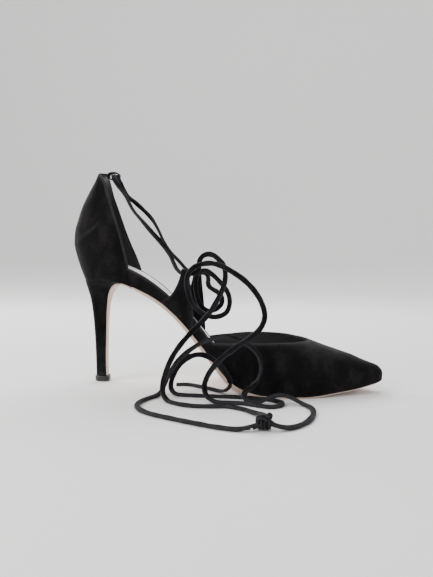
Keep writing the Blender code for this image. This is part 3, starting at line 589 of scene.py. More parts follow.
def smoothRoute(route, step):
    # evenly spaced points on a centripetal curve through the route, all spans at once
    knots = np.array(route, float)
    ends = np.concatenate([[2 * knots[0] - knots[1]], knots, [2 * knots[-1] - knots[-2]]])
    p0, p1, p2, p3 = (ends[k:len(ends) - 3 + k][:, None] for k in range(4))
    t1 = np.linalg.norm(p1 - p0, axis=-1, keepdims=True) ** 0.5
    t2 = t1 + np.linalg.norm(p2 - p1, axis=-1, keepdims=True) ** 0.5
    t3 = t2 + np.linalg.norm(p3 - p2, axis=-1, keepdims=True) ** 0.5
    t = t1 + (t2 - t1) * np.linspace(0, 1, lace["spanSteps"], endpoint=False)[None, :, None]

    def between(start, stop, a, b):
        # straight from a at start to b at stop
        return ((stop - t) * a + (t - start) * b) / (stop - start)

    early, late = between(t1, t2, p1, p2), between(t2, t3, p2, p3)
    early, late = between(0, t2, between(0, t1, p0, p1), early), between(t1, t3, early, late)
    dense = np.concatenate([between(t1, t2, early, late).reshape(-1, 3), knots[-1:]])
    length = np.concatenate([[0], np.cumsum(np.linalg.norm(np.diff(dense, axis=0), axis=1))])
    even = np.linspace(0, length[-1], int(round(length[-1] / step)) + 1)
    return np.stack([np.interp(even, length, dense[:, k]) for k in range(3)], -1), length[-1]


def smoothed(values, reach):
    # running mean with repeated ends
    kernel = np.hanning(2 * reach + 3)[1:-1]
    kernel = kernel / kernel.sum()
    padded = np.concatenate([np.repeat(values[:1], reach, 0), values, np.repeat(values[-1:], reach, 0)])
    return np.stack([np.convolve(column, kernel, "valid") for column in padded.T], -1)


def laceFrames(path, seed, edgeOn):
    # flat side up on the floor, towards the viewer's side where the band stands, with a slow roll
    tangent = unit(np.gradient(path, axis=0))
    z = path[:, 2]
    flat = np.maximum(1 - ease(z, *lace["lies"]), ease(np.abs(tangent[:, 1]), *lace["level"]))[:, None]
    want = flat * np.array([0, 0, 1.0]) + (1 - flat) * np.array(lace["facing"])
    normal = squareTo(smoothed(squareTo(want, tangent), lace["evened"]), tangent)
    across = np.cross(tangent, normal)
    draw = np.random.default_rng(seed)
    along = np.arange(len(path)) * lace["step"]
    slow, quick = lace["twistWaves"]
    roll = np.sin(along / draw.uniform(*slow) + draw.uniform(0, 6)) + np.sin(along / draw.uniform(*quick))
    roll = np.radians(lace["twist"]) * roll * ease(z, *lace["twistRise"])
    roll = roll + np.radians(edgeOn) * ease(z, *lace["edgeRise"]) * (1 - ease(z, *lace["edgeFall"]))
    c, s = np.cos(roll)[:, None], np.sin(roll)[:, None]
    return tangent, normal * c + across * s, across * c - normal * s


def laceSection():
    # flat oval with a groove down the middle of both faces; first point repeated at the end
    angle = np.linspace(0, 2 * math.pi, lace["around"] + 1)
    wide = lace["halfWidth"] * signedPower(np.cos(angle), lace["squareWide"])
    thick = lace["halfThick"] * signedPower(np.sin(angle), lace["squareThick"])
    thick = thick - np.sign(np.sin(angle)) * lace["groove"] * np.exp(-(wide / lace["grooveWidth"]) ** 2)
    return wide, thick


def bandPatches(path, frames, section, seed, rawEnd=False, rawRows=0):
    # section carried along the path; the ends are cut square and closed, pale where the last one is raw
    tangent, normal, across = frames
    puff = 1 + lace["puff"] * softNoise(path, lace["puffSize"], seed)[:, None]
    wide, thick = (part * puff for part in section)
    body = path[:, None] + across[:, None] * wide[..., None] + normal[:, None] * thick[..., None]
    # edges of the band lighter: wear and painted highlight
    edge = ease(np.abs(section[0]) / lace["halfWidth"], *lace["rubbedFrom"])
    stop = len(path) - rawRows
    made = [patch(body[:stop], 0, lace["rubbed"] * edge)]
    if rawRows:
        made.append(patch(body[stop - 1:], 1, lace["rawWorn"]))
    for index, raw, way in ((0, False, -1), (-1, rawEnd, 1)):
        middle = path[index]
        rings = [middle + (body[index] - middle) * share + tangent[index] * step * way
                 for share, step in lace["cap"]]
        made.append(patch(np.stack([body[index], *rings]), int(raw), lace["capWorn"]))
    return made


def addLace(name, nodes, seed, farEnd):
    # a strand along its route, let down to the floor where it lies; only a bare end is cut raw
    path, length = smoothRoute(laceRoutes[name], lace["step"])
    lying = 1 - ease(path[:, 2], lace["routeFloor"], lace["lifted"])
    path[:, 2] = path[:, 2] + (lace["floor"] - lace["routeFloor"]) * lying
    path[:, 2] = np.maximum(path[:, 2], lace["floor"])
    frames = laceFrames(path, seed, lace["edgeOn"].get(name, 0.0))
    made = bandPatches(path, frames, laceSection(), seed, farEnd == "bare")
    piece = addPiece(name, made, [laceSuede, smooth["rawTip"]], "lace", *nodes)
    return piece, inFrame(path), length * 0.001


# name, CAD nodes, seed of the roll, far end, how it lies
strands = [
    ("laceHeel", ["lace_heel"], 11, "object", "taut"),
    ("laceMedial", ["lace_medial"], 12, "knot", "loose"),
    ("laceLateral", ["lace_lateral", "lace_tail"], 13, "bare", "loose"),
    ("laceEnd", ["lace_end"], 14, "knot", "loose"),
]
laid = {strand[0]: addLace(*strand[:4]) for strand in strands}
print("lace lengths", [round(length, 3) for _, _, length in laid.values()])

# The knot: a turn at each side, one upright before them, one thrown over like an upturned V, a small loop
# and a cut end
knot = {
    "middle": (161.5, -103.5, 5.5),
    "shift": (-1.0, -2.2, -0.3),
    "halfWidth": 1.6,
    "halfThick": 0.85,
    "steps": 72,
    "floor": 0.15,  # lowest that a turn may reach
    "peakWidth": 0.5,  # of a turn's angle
    "stubSize": 0.9,
    "stubStep": 0.5,
    "stubSeed": 15,
    "rawRows": 2,
    # middle and two half axes of the turn, as x, y, z, then its share of the full section and of the peak
    "turns": [
        ((-2.2, 0.3, -0.7), (0.2, -3.6, 0.2), (0.7, 0.3, 3.3), 0.95, 0),
        ((2.1, 0.2, -0.7), (-0.2, -3.7, 0.0), (-0.7, 0.2, 3.3), 0.95, 0),
        ((-0.2, 0.0, -0.8), (0.1, -4.5, 0.1), (0.1, 0.2, 3.3), 0.8, 0),
        ((0.0, 0.1, -0.4), (4.0, 0.2, -0.9), (0.1, -4.3, 3.4), 0.82, 1),
        ((3.2, 1.0, 2.4), (1.05, -0.3, 0.1), (-0.2, -0.6, 1.1), 0.95, 0),
    ],
    "peak": 0.2,  # how far the thrown turn's top stands out
    "stub": [(-2.0, -2.6, -1.2), (-4.2, -4.6, -2.6), (-6.4, -6.3, -3.5), (-8.0, -7.6, -3.9)],
}


def knotTurn(middle, first, second, peak):
    # an ellipse from two half axes, its top drawn out by the peak; the flat side looks away from the middle
    angle = np.linspace(0, 2 * math.pi, knot["steps"] + 1)[:, None]
    drawn = 1 + peak * np.exp(-((angle - math.pi / 2) / knot["peakWidth"]) ** 2)
    path = np.array(first) * np.cos(angle) + np.array(second) * np.sin(angle) * drawn
    tangent = unit(np.roll(path[:-1], -1, 0) - np.roll(path[:-1], 1, 0))
    tangent = np.concatenate([tangent, tangent[:1]])
    normal = squareTo(path, tangent)
    return path + middle + knot["shift"] + knot["middle"], normal, np.cross(tangent, normal)


def knotPatches():
    # the lace's section, pressed flatter, carried round each turn and along the stub
    wide, thick = laceSection()
    wide = wide * knot["halfWidth"] / lace["halfWidth"]
    thick = thick * knot["halfThick"] / lace["halfThick"]
    # lighter edges at full strength, more than on the free lace: edge wear and a painted highlight that lifts
    # the knot out of its shade
    edge = ease(np.abs(wide) / knot["halfWidth"], *lace["rubbedFrom"])
    made = []
    for middle, first, second, size, peakShare in knot["turns"]:
        path, normal, across = knotTurn(middle, first, second, peakShare * knot["peak"])
        across, normal = size * across[:, None], size * normal[:, None]
        body = path[:, None] + across * wide[:, None] + normal * thick[:, None]
        body[..., 2] = np.maximum(body[..., 2], knot["floor"])
        made.append(patch(body, 0, edge))
    stub, _ = smoothRoute(np.array(knot["stub"]) + knot["middle"], knot["stubStep"])
    frames = laceFrames(stub, knot["stubSeed"], 0.0)
    section = wide * knot["stubSize"], thick * knot["stubSize"]
    return made + bandPatches(stub, frames, section, knot["stubSeed"], True, knot["rawRows"])


laceKnot = addPiece("laceKnot", knotPatches(), [laceSuede, smooth["rawTip"]], "lace", "lace_knot")
print("lace and knot done")

# The upper: one skin from the sole edge to the topline, closed over the toe, with a wall inside it
upper = {
    "wall": 1.8,
    "outerRows": 40,
    "innerRows": 22,
    "rimRows": 9,
    "rimSwell": 0.9,
    "fine": 4,  # steps between two stations
    "front": (84, 112),  # stations over which the rows pass from even heights to even angles
    "lap": 0.45,  # the counter lies this much over the waist cover
    "lapStation": {-1: 51.3, 1: 46.7},
    "lapStep": (-0.5, 0.4),  # the lap ends between these, from its station
    "lapStart": (24, 42),
    "lapRise": (0.5, 4),
    "tuck": 0.4,  # the skin turns in under its lower edge along the waist
    "tuckRise": 1.6,
    "tuckStart": (58, 84),
    "tuckStop": (116, 132),
    "skirt": 1.6,  # the skin runs this far down over the sole edge in front
    "skirtRange": (138, 153),
    "skirtRows": 6,
    "skirtWall": 0.3,
    "skirtRoll": 0.12,
    "skirtRubbed": 0.25,
    "wave": 0.1,
    "waveSize": 16,
    # lighter suede along the open topline and over its rim: rubbed edge and painted rim highlight; reach in
    # mm, then the rim's share
    "rubbed": 0.8,  # reach of the rubbed edge
    "rimWearAndHighlight": 0.75,
    # soft fold in the suede on the medial side of the counter: its line as x and z
    "foldLine": [(5.0, 106.0), (10.0, 110.8), (15.5, 115.2), (23.0, 119.0), (29.5, 124.6), (35.5, 129.8)],
    "foldLean": 0.8,  # distance from the line for each unit of height
    "foldHeight": 0.34,
    "foldWidth": 2.1,
    "foldFade": 1.2,
    "foldStart": (7, 13),
    "foldStop": (25, 33),
    # the fold's crest is painted lighter: crushed nap and painted highlight along the ridge
    "foldWearAndHighlight": 0.35,
}
upperStations = (
    [0, 4, 8, 12, 15.5, 18.5, 21, 23, 25, 27]
    + [28.5, 30, 31.2, 32.6, 34.4, 36.4, 38.4, 40.2, 42, 43.6, 45, 46.4, 47.7, 48.9, 50, 51, 52]
    + [56, 62, 68, 75, 82, 89, 95, 100, 104, 108, 112, 115, 118, 122, 127, 133, 139, 146, 153, 160]
    + [166, 171, 175, 178.5, 181.3, 183.5, 185.2, 186.3, 187]
    + [190, 195, 201, 207, 213, 219, 225, 230, 235, 236.2, 237.4, 238.5, 239.4, 240]
)


def refined(values, parts):
    # each step between two values cut into equal parts
    steps = np.linspace(0, len(values) - 1, (len(values) - 1) * parts + 1)
    return np.interp(steps, np.arange(len(values)), values)


def gridNormals(points, side):
    # cross product of the two grid directions, turned outward; up and forward where a grid cell has no width
    normal = np.cross(np.gradient(points, axis=0), np.gradient(points, axis=1)) * -side
    size = np.linalg.norm(normal, axis=-1, keepdims=True)
    return np.where(size > 1e-7, normal / np.maximum(size, 1e-9), np.array([0.35, 0, 0.94]))


def foldCrest(points, side):
    # 1 on the fold's line, a shallow trough on either side, 0 away from it and past its two ends
    x, z = points[..., 0], points[..., 2]
    away = ((z - through(upper["foldLine"], 1)(x)) * upper["foldLean"] / upper["foldWidth"]) ** 2
    ends = ease(x, *upper["foldStart"]) * (1 - ease(x, *upper["foldStop"]))
    return (side < 0) * (1 - away) * np.exp(-away / upper["foldFade"]) * ends


def upperSide(side):
    # one half of the skin: outer and inner sheet, rolled rim, skirt over the sole edge, closed foot
    stations = refined(upperStations, upper["fine"])
    top = topEdge(stations, side)[:, None]
    x, y, _ = planPoint(stations, side)
    high = (crestAt(np.minimum(x, last["toeX"])) - soleAt(x, y))[:, None]
    front = ease(stations, *upper["front"])[:, None]
    closed = stations >= last["throat"]
    lapStop = upper["lapStation"][side] + np.array(upper["lapStep"])
    lap = upper["lap"] * (1 - ease(stations, *lapStop)) * ease(stations, *upper["lapStart"])
    tuck = upper["tuck"] * (ease(stations, *upper["tuckStart"]) * (1 - ease(stations, *upper["tuckStop"])))

    def centred(grid):
        # the closed ridge, the back and the tip stay on the middle plane
        grid[closed, -1, 1] = 0
        grid[[0, -1], :, 1] = 0
        return grid

    def sheet(rows):
        # rises even in height behind, even in angle in front
        share = np.linspace(0, 1, rows)[None]
        angle = np.arcsin(np.clip(top / high, 0, 1)) * share
        rise = front * high * np.sin(angle) + (1 - front) * top * share
        points = centred(skinPoint(stations[:, None], rise, side))
        return rise, points, unit(centred(gridNormals(points, side)))

    rise, points, normal = sheet(upper["outerRows"])
    low = 1 - ease(rise, 0, upper["tuckRise"])
    push = lap[:, None] * ease(rise, *upper["lapRise"]) - tuck[:, None] * low
    push = push + upper["wave"] * softNoise(points, upper["waveSize"], 5) * (1 - low)
    push = push + upper["foldHeight"] * foldCrest(points, side)
    outer = centred(points + normal * push[..., None])
    below = top - rise
    _, points, normal = sheet(upper["innerRows"])
    inner = centred(points - normal * upper["wall"])
    opened = stations <= last["throat"]
    a, b = outer[opened, -1], inner[opened, -1]
    tangent = np.gradient(a, axis=0)
    tangent[[0, -1]] = (0, 1, 0)
    half = (a - b) / 2
    bulge = unit(np.cross(tangent, half))
    away = a - outer[opened, -3]
    bulge = bulge * np.sign((bulge * away).sum(-1, keepdims=True))
    angle = np.linspace(0, math.pi, upper["rimRows"])[None, :, None]
    reach = np.linalg.norm(half, axis=-1)[:, None, None] * upper["rimSwell"]
    rim = (a + b)[:, None] / 2 + half[:, None] * np.cos(angle) + bulge[:, None] * reach * np.sin(angle)
    rim[[0, -1], :, 1] = 0
    # lighter towards the open topline: partly rubbed edge, partly painted highlight where light catches the
    # rim
    wearAndHighlight = np.exp(-below / upper["rubbed"]) * opened[:, None]
    # lighter along the fold's crest: crushed nap and a painted highlight on the ridge
    wearAndHighlight = np.maximum(wearAndHighlight, upper["foldWearAndHighlight"] * foldCrest(outer, side))
    # the skirt: straight down from the lower edge, its last part rolled in, with a thin wall behind it
    nx, ny = planNormal(stations, side)
    inward = np.stack([-nx, -ny, 0 * nx], -1)
    inward[[0, -1], 1] = 0
    fade = ease(stations, *upper["skirtRange"])[:, None]
    down = np.array([0, 0, -upper["skirt"]]) * fade
    level = np.linspace(1, 0, upper["skirtRows"] + 1)[:-1]
    roll = upper["skirtRoll"] * level[None] ** 5 * fade
    skirt = outer[:, :1] + down[:, None] * level[None, :, None] + inward[:, None] * roll[..., None]
    wall = upper["skirtWall"] * fade * inward
    foot = np.stack([skirt[:, 0], outer[:, 0] + down + wall, outer[:, 0] + wall, inner[:, 0]], 1)
    outer = np.concatenate([skirt, outer], 1)
    skirtWorn = np.broadcast_to(upper["skirtRubbed"] * level ** 2, skirt.shape[:2])
    wearAndHighlight = np.concatenate([skirtWorn, wearAndHighlight], 1)
    return [patch(outer, 0, wearAndHighlight), patch(rim, 0, upper["rimWearAndHighlight"]), patch(inner, 1), patch(foot)]


addPiece("upperSkin", upperSide(-1) + upperSide(1), [upperSuede, smooth["liningLeather"]], "suede", "upper")

# The footbed: a pale pad from wall to wall, its upper edge rounded
footbed = {
    "stations": [(0.9, 27, 40), (28, 233, 190), (233.6, 238.8, 14)],  # from, to, how many
    "inset": 2.2,
    "across": 40,
    "round": 1.3,
    "roundDepth": 0.55,  # share of the round
    "roundSteep": 0.98,
    "lift": 0.1,  # over the sole
    "wave": 0.12,
    "waveSize": 24,
    "waveRoom": (1, 8),  # millimetres from the edge
    "follows": 0.06,  # share of the width after which the pad leaves the wall's own height
    "rubbed": 0.5,
    "rubbedReach": 2.0,
}


def footbedPatches():
    # upper and lower sheet, each straight from edge to edge at its height, joined to one closed loop
    stations = np.concatenate([np.linspace(*run) for run in footbed["stations"]])
    share = (0.5 - 0.5 * np.cos(np.linspace(0, math.pi, footbed["across"])))[None]
    step = 0.2
    rims = {}
    for side in (-1, 1):
        x, y, _ = planPoint(stations, side)
        depth = footbedTop(slanted(x, y * last["levelShare"])) - soleAt(x, y)
        for level, rise in (("low", footbed["lift"] + 0 * depth), ("high", depth)):
            edge = skinPoint(stations, rise, side)
            ahead = skinPoint(stations + step, rise, side) - skinPoint(stations - step, rise, side)
            up = skinPoint(stations, rise + step, side) - edge
            rims[level, side] = edge - unit(np.cross(ahead, up) * -side) * footbed["inset"]
    sheets = {}
    for level, height in (("low", soleTop), ("high", footbedTop)):
        left, right = rims[level, -1][:, None], rims[level, 1][:, None]
        points = left + (right - left) * share[..., None]
        z = height(slanted(points[..., 0], points[..., 1]))
        inside = ease(np.minimum(share, 1 - share), 0, footbed["follows"])
        points[..., 2] = points[..., 2] * (1 - inside) + z * inside
        sheets[level] = points
    top, low = sheets["high"], sheets["low"]
    room = np.minimum(share, 1 - share) * np.linalg.norm(rims["high", 1] - rims["high", -1], axis=1)[:, None]
    d = np.clip(1 - room / footbed["round"], 0, 1)
    top[..., 2] -= footbed["round"] * footbed["roundDepth"] * (1 - np.sqrt(1 - d * d * footbed["roundSteep"]))
    top[..., 2] += footbed["wave"] * softNoise(top, footbed["waveSize"], 8) * ease(room, *footbed["waveRoom"])
    low[..., 2] += footbed["lift"]
    loop = np.concatenate([top, low[:, ::-1], top[:, :1]], 1)
    rubbed = footbed["rubbed"] * (1 - ease(room, 0, footbed["rubbedReach"]))
    wearAndHighlight = np.concatenate([rubbed, np.zeros((len(stations), footbed["across"] + 1))], 1)
    return [patch(loop, 0, wearAndHighlight), patch(np.stack([top[0], low[0]])), patch(np.stack([top[-1], low[-1]]))]


addPiece("footbed", footbedPatches(), [smooth["footbedLeather"]], "insole", "insole")

# The outsole: leather from the toe to the arch, then round the breast and down the front of the heel
outsole = {
    "stations": [(239.4, 233, 14), (231.5, 54, 150)],  # from, to, how many
    "inset": 0.4,
    "bevel": 0.7,
    "gap": 0.3,
    "flap": 1.1,
    "across": 36,
    "fine": 5,  # steps between two rows of the breast
    "skew": 0.8,  # share of the last's slant that the breast takes
    "swell": 0.16,
    "tread": (120, 140, 176, 200),  # x where the rubbed tread comes and goes
    "treadHigh": 1.5,
    "rubbed": 0.6,
    "edgeRubbed": 0.35,
    # x, z and half width of the leather's face on the breast
    "breast": [
        (50.0, 74.8, 20.6), (45.8, 76.6, 20.6), (41.8, 77.8, 19.8), (38.0, 77.7, 17.6), (34.9, 76.3, 14.8),
        (32.3, 73.6, 11.6), (30.2, 69.3, 8.4), (28.9, 63.4, 5.8), (28.0, 55.5, 4.4), (27.5, 44.5, 3.7),
        (27.1, 32.0, 3.3), (26.9, 20.0, 3.2), (27.0, 10.0, 3.2), (27.2, 4.9, 3.2),
    ],
}


def breastRows():
    # the breast finely stepped, with the direction from the leather's face into the heel
    rows = np.array(outsole["breast"])
    table = np.column_stack([np.arange(len(rows)), rows])
    steps = refined(table[:, 0], outsole["fine"])
    fine = np.stack([through(table, k)(steps) for k in (1, 2, 3)], -1)
    ahead = unit(np.gradient(fine[:, :2], axis=0))
    inward = np.stack([ahead[:, 1], -ahead[:, 0]], 1)
    return steps, fine, inward * np.sign(-inward[-1, 0])


def outsolePatches():
    # lower and upper face from edge to edge, carried on over the breast, with a swelled edge between them
    stations = np.concatenate([np.linspace(*run) for run in outsole["stations"]])
    share = np.linspace(0, 1, outsole["across"])[None, :, None]
    faces = {}
    for level, height, drop, inset in (
        ("top", soleTop, outsole["gap"], outsole["inset"]),
        ("low", soleBottom, 0, outsole["inset"] + outsole["bevel"]),
    ):
        edges = {}
        for side in (-1, 1):
            nx, ny = planNormal(stations, side)
            x, y, _ = planPoint(stations, side)
            edges[side] = np.stack([x - nx * inset, y - ny * inset], -1)[:, None]
        flat = edges[-1] * (1 - share) + edges[1] * share
        z = height(slanted(flat[..., 0], flat[..., 1])) - drop
        faces[level] = np.concatenate([flat, z[..., None]], -1)
    _, fine, inward = breastRows()
    y = np.linspace(-1, 1, outsole["across"])[None] * fine[:, 2:3]
    skew = -y * last["slant"] * outsole["skew"]
    face = np.stack([fine[:, :1] + skew, y, np.broadcast_to(fine[:, 1:2], y.shape)], -1)
    into = np.stack([inward[:, 0], 0 * inward[:, 0], inward[:, 1]], -1)[:, None] * outsole["flap"]
    low = np.concatenate([faces["low"], face])
    top = np.concatenate([faces["top"], face + into])
    middle = {}
    for column, way in ((0, -1), (-1, 1)):
        half = (low[:, column] + top[:, column]) / 2
        half[:, 1] += way * outsole["swell"]
        middle[column] = half[:, None]
    loop = np.concatenate([low, middle[-1], top[:, ::-1], middle[0], low[:, :1]], 1)
    x, z = low[..., 0], low[..., 2]
    tread = ease(x, *outsole["tread"][:2]) * (1 - ease(x, *outsole["tread"][2:]))
    tread = outsole["rubbed"] * tread * (1 - ease(z, 0, outsole["treadHigh"]))
    rim = np.full((len(loop), 1), outsole["edgeRubbed"])
    wearAndHighlight = np.concatenate([tread, rim, np.zeros(top.shape[:2]), rim, tread[:, :1]], 1)
    ends = [[np.concatenate([middle[0][row], part[row], middle[-1][row]]) for part in (low, top)]
            for row in (0, -1)]
    return [patch(loop, 0, wearAndHighlight), *(patch(np.stack(end)) for end in ends)]


addPiece("outsoleLeather", outsolePatches(), [smooth["soleLeather"]], "outsole", "outsole")

# The heel: rings from the seat down to the tip, round behind and flat at the breast
heel = {
    "gap": 0.45,
    "square": 5.0,
    "middle": 0.55,  # share of a ring's length that lies behind its widest place, from the front
    "count": 96,
    "rows": 100,
    "seat": (30.0, 0.4),  # middle of the seat
    "seatStations": 60,  # the seam is fitted to the sole edge up to this station
    "seatFade": (2.2, 2.7),  # bearings from the back, past which the ring keeps its own place
    "blendRows": 3.5,  # ring rows over which the fit to the seam fades out
    "seam": 0.02,
    "clear": 0.3,  # below the sole where the fit has faded out
    "rubbed": 0.5,
    "rubbedHigh": (4.9, 9),
    # x and z at the back, row of the breast at the front, half width
    "rings": [
        (10.4, 81.9, 2.6, 21.0), (10.9, 79.2, 3.2, 19.8), (11.8, 76.0, 4, 17.2), (12.7, 72.4, 5, 14.0),
        (13.6, 68.0, 6, 10.9), (14.5, 62.2, 7, 8.6), (15.3, 54.5, 8, 7.1), (16.2, 44.0, 9, 6.2),
        (16.9, 32.0, 10, 5.5), (17.3, 20.0, 11, 5.1), (17.6, 10.0, 12, 5.0), (17.7, 4.9, 13, 5.1),
    ],
}


def heelRing(back, front, half, backZ, frontZ, square):
    # round at the back, a flattened oval at the front, tilted from back to front
    angle = np.linspace(0, 2 * math.pi, heel["count"] + 1)
    c, s = np.cos(angle)[None], np.sin(angle)[None]
    middle = front - heel["middle"] * (front - back)
    power = np.where(c > 0, 2 / square, 1.0)
    x = np.where(c > 0, front - middle, middle - back) * signedPower(c, power) + middle
    y = half * signedPower(s, power)
    z = backZ + (frontZ - backZ) * (x - back) / (front - back)
    x = x - np.where(c > 0, y * last["slant"] * outsole["skew"] * np.abs(c) ** 0.5, 0)
    return np.stack([x, y, z], -1)


def heelPatches():
    # the top ring is stretched and lifted to the seam with the upper, by its distance from the seat's middle
    # over the bearing there, and the rows below take a share of that which fades out
    rows = np.array(heel["rings"])
    table = np.column_stack([np.arange(len(rows)), rows])
    steps = np.linspace(0, len(rows) - 1, heel["rows"])
    back, backZ, row, half = (through(table, k)(steps)[:, None] for k in (1, 2, 3, 4))
    order, fine, inward = breastRows()
    away = outsole["flap"] + heel["gap"]
    front, frontZ = (np.interp(row, order, fine[:, k]) + np.interp(row, order, inward[:, k]) * away
                     for k in range(2))
    rings = heelRing(back, front, half, backZ, frontZ, heel["square"])
    seat = np.array(heel["seat"])
    around = np.linspace(0, heel["seatStations"], 90)
    edge = np.concatenate([np.stack(planPoint(around[::-1], -1)[:2], -1),
                           np.stack(planPoint(around[1:], 1)[:2], -1)]) - seat
    bearing = np.arctan2(-edge[:, 1], -edge[:, 0])
    flat = rings[..., :2] - seat
    distance = np.linalg.norm(flat[:1], axis=-1)
    facing = np.arctan2(-flat[:1, :, 1], -flat[:1, :, 0])
    order = np.argsort(bearing)
    target = np.interp(facing, bearing[order], np.linalg.norm(edge, axis=-1)[order])
    near = (1 - ease(steps, 0, heel["blendRows"]))[:, None] * (1 - ease(np.abs(facing), *heel["seatFade"]))
    rings[..., :2] = seat + flat * (1 + (target / distance - 1) * near)[..., None]
    seam = soleAt(rings[:1, :, 0], rings[:1, :, 1]) - heel["seam"]
    rings[..., 2] += np.maximum(seam - rings[:1, :, 2], 0) * near
    roof = soleAt(rings[..., 0], rings[..., 1]) - heel["clear"] + (heel["clear"] - heel["seam"]) * near
    rings[..., 2] = np.minimum(rings[..., 2], roof)
    rubbed = heel["rubbed"] * (1 - ease(rings[..., 2], *heel["rubbedHigh"]))
    return [patch(rings, 0, rubbed), patch(disc(rings[0])), patch(disc(rings[-1]), 0, heel["rubbed"])]


addPiece("heelCover", heelPatches(), [heelSuede], "heel_cover", "heel")

# The top lift: a rubber tip under the heel
lift = {
    "back": 16.6,
    "front": 28.6,
    "half": 5.7,
    "square": 4.0,
    # height and inset of the rings, both corners rounded
    "rings": [(0, 1.2), (0, 0.6), (0.12, 0.22), (0.5, 0), (1.8, -0.05), (3.7, 0), (4.15, 0.14), (4.4, 0.5)],
    "rubbed": 0.8,
    "rubbedHigh": (0.2, 1.2),
}


def liftPatches():
    # heel rings that stand level, each drawn in by its inset
    z, cut = np.array(lift["rings"]).T[..., None]
    rings = heelRing(lift["back"] + cut, lift["front"] - cut, lift["half"] - cut, z, z, lift["square"])
    wearAndHighlight = lift["rubbed"] * (1 - ease(z, *lift["rubbedHigh"]))
    return [patch(rings, 0, wearAndHighlight), patch(disc(rings[0]), 0, 1.0), patch(disc(rings[-1]))]


addPiece("topLift", liftPatches(), [smooth["liftRubber"]], "top_lift", "top_lift")

# The tabs: straps that lie on the waist, stand above it and fold inward to a loop for the lace
tab = {
    "thick": 1.2,
    "loop": 2.2,
    "curl": 290,  # degrees that the loop turns
    "curlRows": 40,
    "columns": 13,
    "edgeColumns": 5,
    "edgeSwell": 0.42,
    "gap": 0.3,
    "foot": 0.8,  # height of the lower edge over the sole edge
    "band": 0.32,  # share of the height that lies on the waist
    "bandRows": 18,
    "standRows": 34,
    "middle": 95.4,  # station over whose edge the tab stands
    "top": 87.0,
    "rubbed": 0.9,
    "capRubbed": 0.8,
    # share of the height, rear edge, front edge
    "outline": [
        (0.00, 77.6, 100.0), (0.16, 80.0, 100.8), (0.32, 83.0, 101.4), (0.50, 85.8, 101.0),
        (0.70, 88.7, 99.9), (0.88, 91.2, 98.6), (1.00, 92.6, 98.2),
    ],
    "shift": {-1: 0.0, 1: -0.5},
}


def tabPatches(side):
    # inner and outer face over a grid of height and width, curled at the top, with half round edges
    rear, front = through(tab["outline"], 1), through(tab["outline"], 2)
    lying = np.linspace(0, tab["band"], tab["bandRows"])
    share = np.concatenate([lying, np.linspace(tab["band"], 1, tab["standRows"])[1:]])[:, None]
    across = np.linspace(0, 1, tab["columns"])[None]
    x = rear(share) + (front(share) - rear(share)) * across + tab["shift"][side]
    rise = tab["foot"] + (topEdge(x, side) - tab["foot"]) * np.minimum(share / tab["band"], 1)
    standing = np.maximum(share - tab["band"], 0) / (1 - tab["band"])
    place = np.array([tab["middle"]])
    standY = skinPoint(place, topEdge(place, side), side)[0, 1] + side * tab["gap"]
    y = skinPoint(x, rise, side)[..., 1] + side * tab["gap"]
    y = y + (standY - y) * standing
    z = soleAt(*planPoint(x, side)[:2]) + rise
    z = z + (tab["top"] - z) * standing
    inner = np.stack([x, y, z], -1)
    outer = inner + np.array([0, side * tab["thick"], 0])
    angle = np.radians(np.linspace(0, tab["curl"], tab["curlRows"] + 1)[1:])[:, None]
    axisY = inner[-1, 0, 1] - side * tab["loop"]

    def curl(radius):
        # rows round the loop's axis
        y, z = axisY + side * radius * np.cos(angle), tab["top"] + radius * np.sin(angle)
        return np.stack(np.broadcast_arrays(x[-1:], y, z), -1)

    def rolled(a, b, sign):
        # half round edge between the two faces
        turn = np.linspace(0, math.pi, tab["edgeColumns"] + 2)[None, 1:-1, None]
        swell = np.array([sign, 0, 0.0]) * tab["thick"] * tab["edgeSwell"]
        return (a + b)[:, None] / 2 + (a - b)[:, None] / 2 * np.cos(turn) + swell * np.sin(turn)

    inner = np.concatenate([inner, curl(tab["loop"])])
    outer = np.concatenate([outer, curl(tab["loop"] + tab["thick"])])
    front = rolled(inner[:, -1], outer[:, -1], 1)
    back = rolled(outer[:, 0], inner[:, 0], -1)
    loop = np.concatenate([inner, front, outer[:, ::-1], back, inner[:, :1]], 1)
    flat, edge = np.zeros(tab["columns"]), np.full(tab["edgeColumns"] + 1, tab["rubbed"])
    faded = flat.copy()
    faded[[0, -1]] = tab["rubbed"] / 2
    wearAndHighlight = np.concatenate([flat, edge[1:], faded, edge])
    caps = [patch(disc(loop[index]), 0, tab["capRubbed"]) for index in (0, -1)]
    return [patch(loop, 0, wearAndHighlight), *caps]


addPiece("medialTab", tabPatches(-1), [tabSuede], "tab", "medial_tab")
addPiece("lateralTab", tabPatches(1), [tabSuede], "tab", "lateral_tab")

# The keeper: a flat strap sewn to the counter's peak, standing forward as a loop for the lace
keeper = {
    "place": (32.7, 163.3),
    "halfLong": 4.35,
    "halfHigh": 2.6,
    "square": 2.6,
    "thick": 1.0,
    "half": 2.9,
    "squareWide": 0.35,  # powers that square the strip's section
    "squareThick": 0.6,
    "rubbed": 0.4,
    "rubbedFrom": (0.6, 1.0),  # share of the half width
}


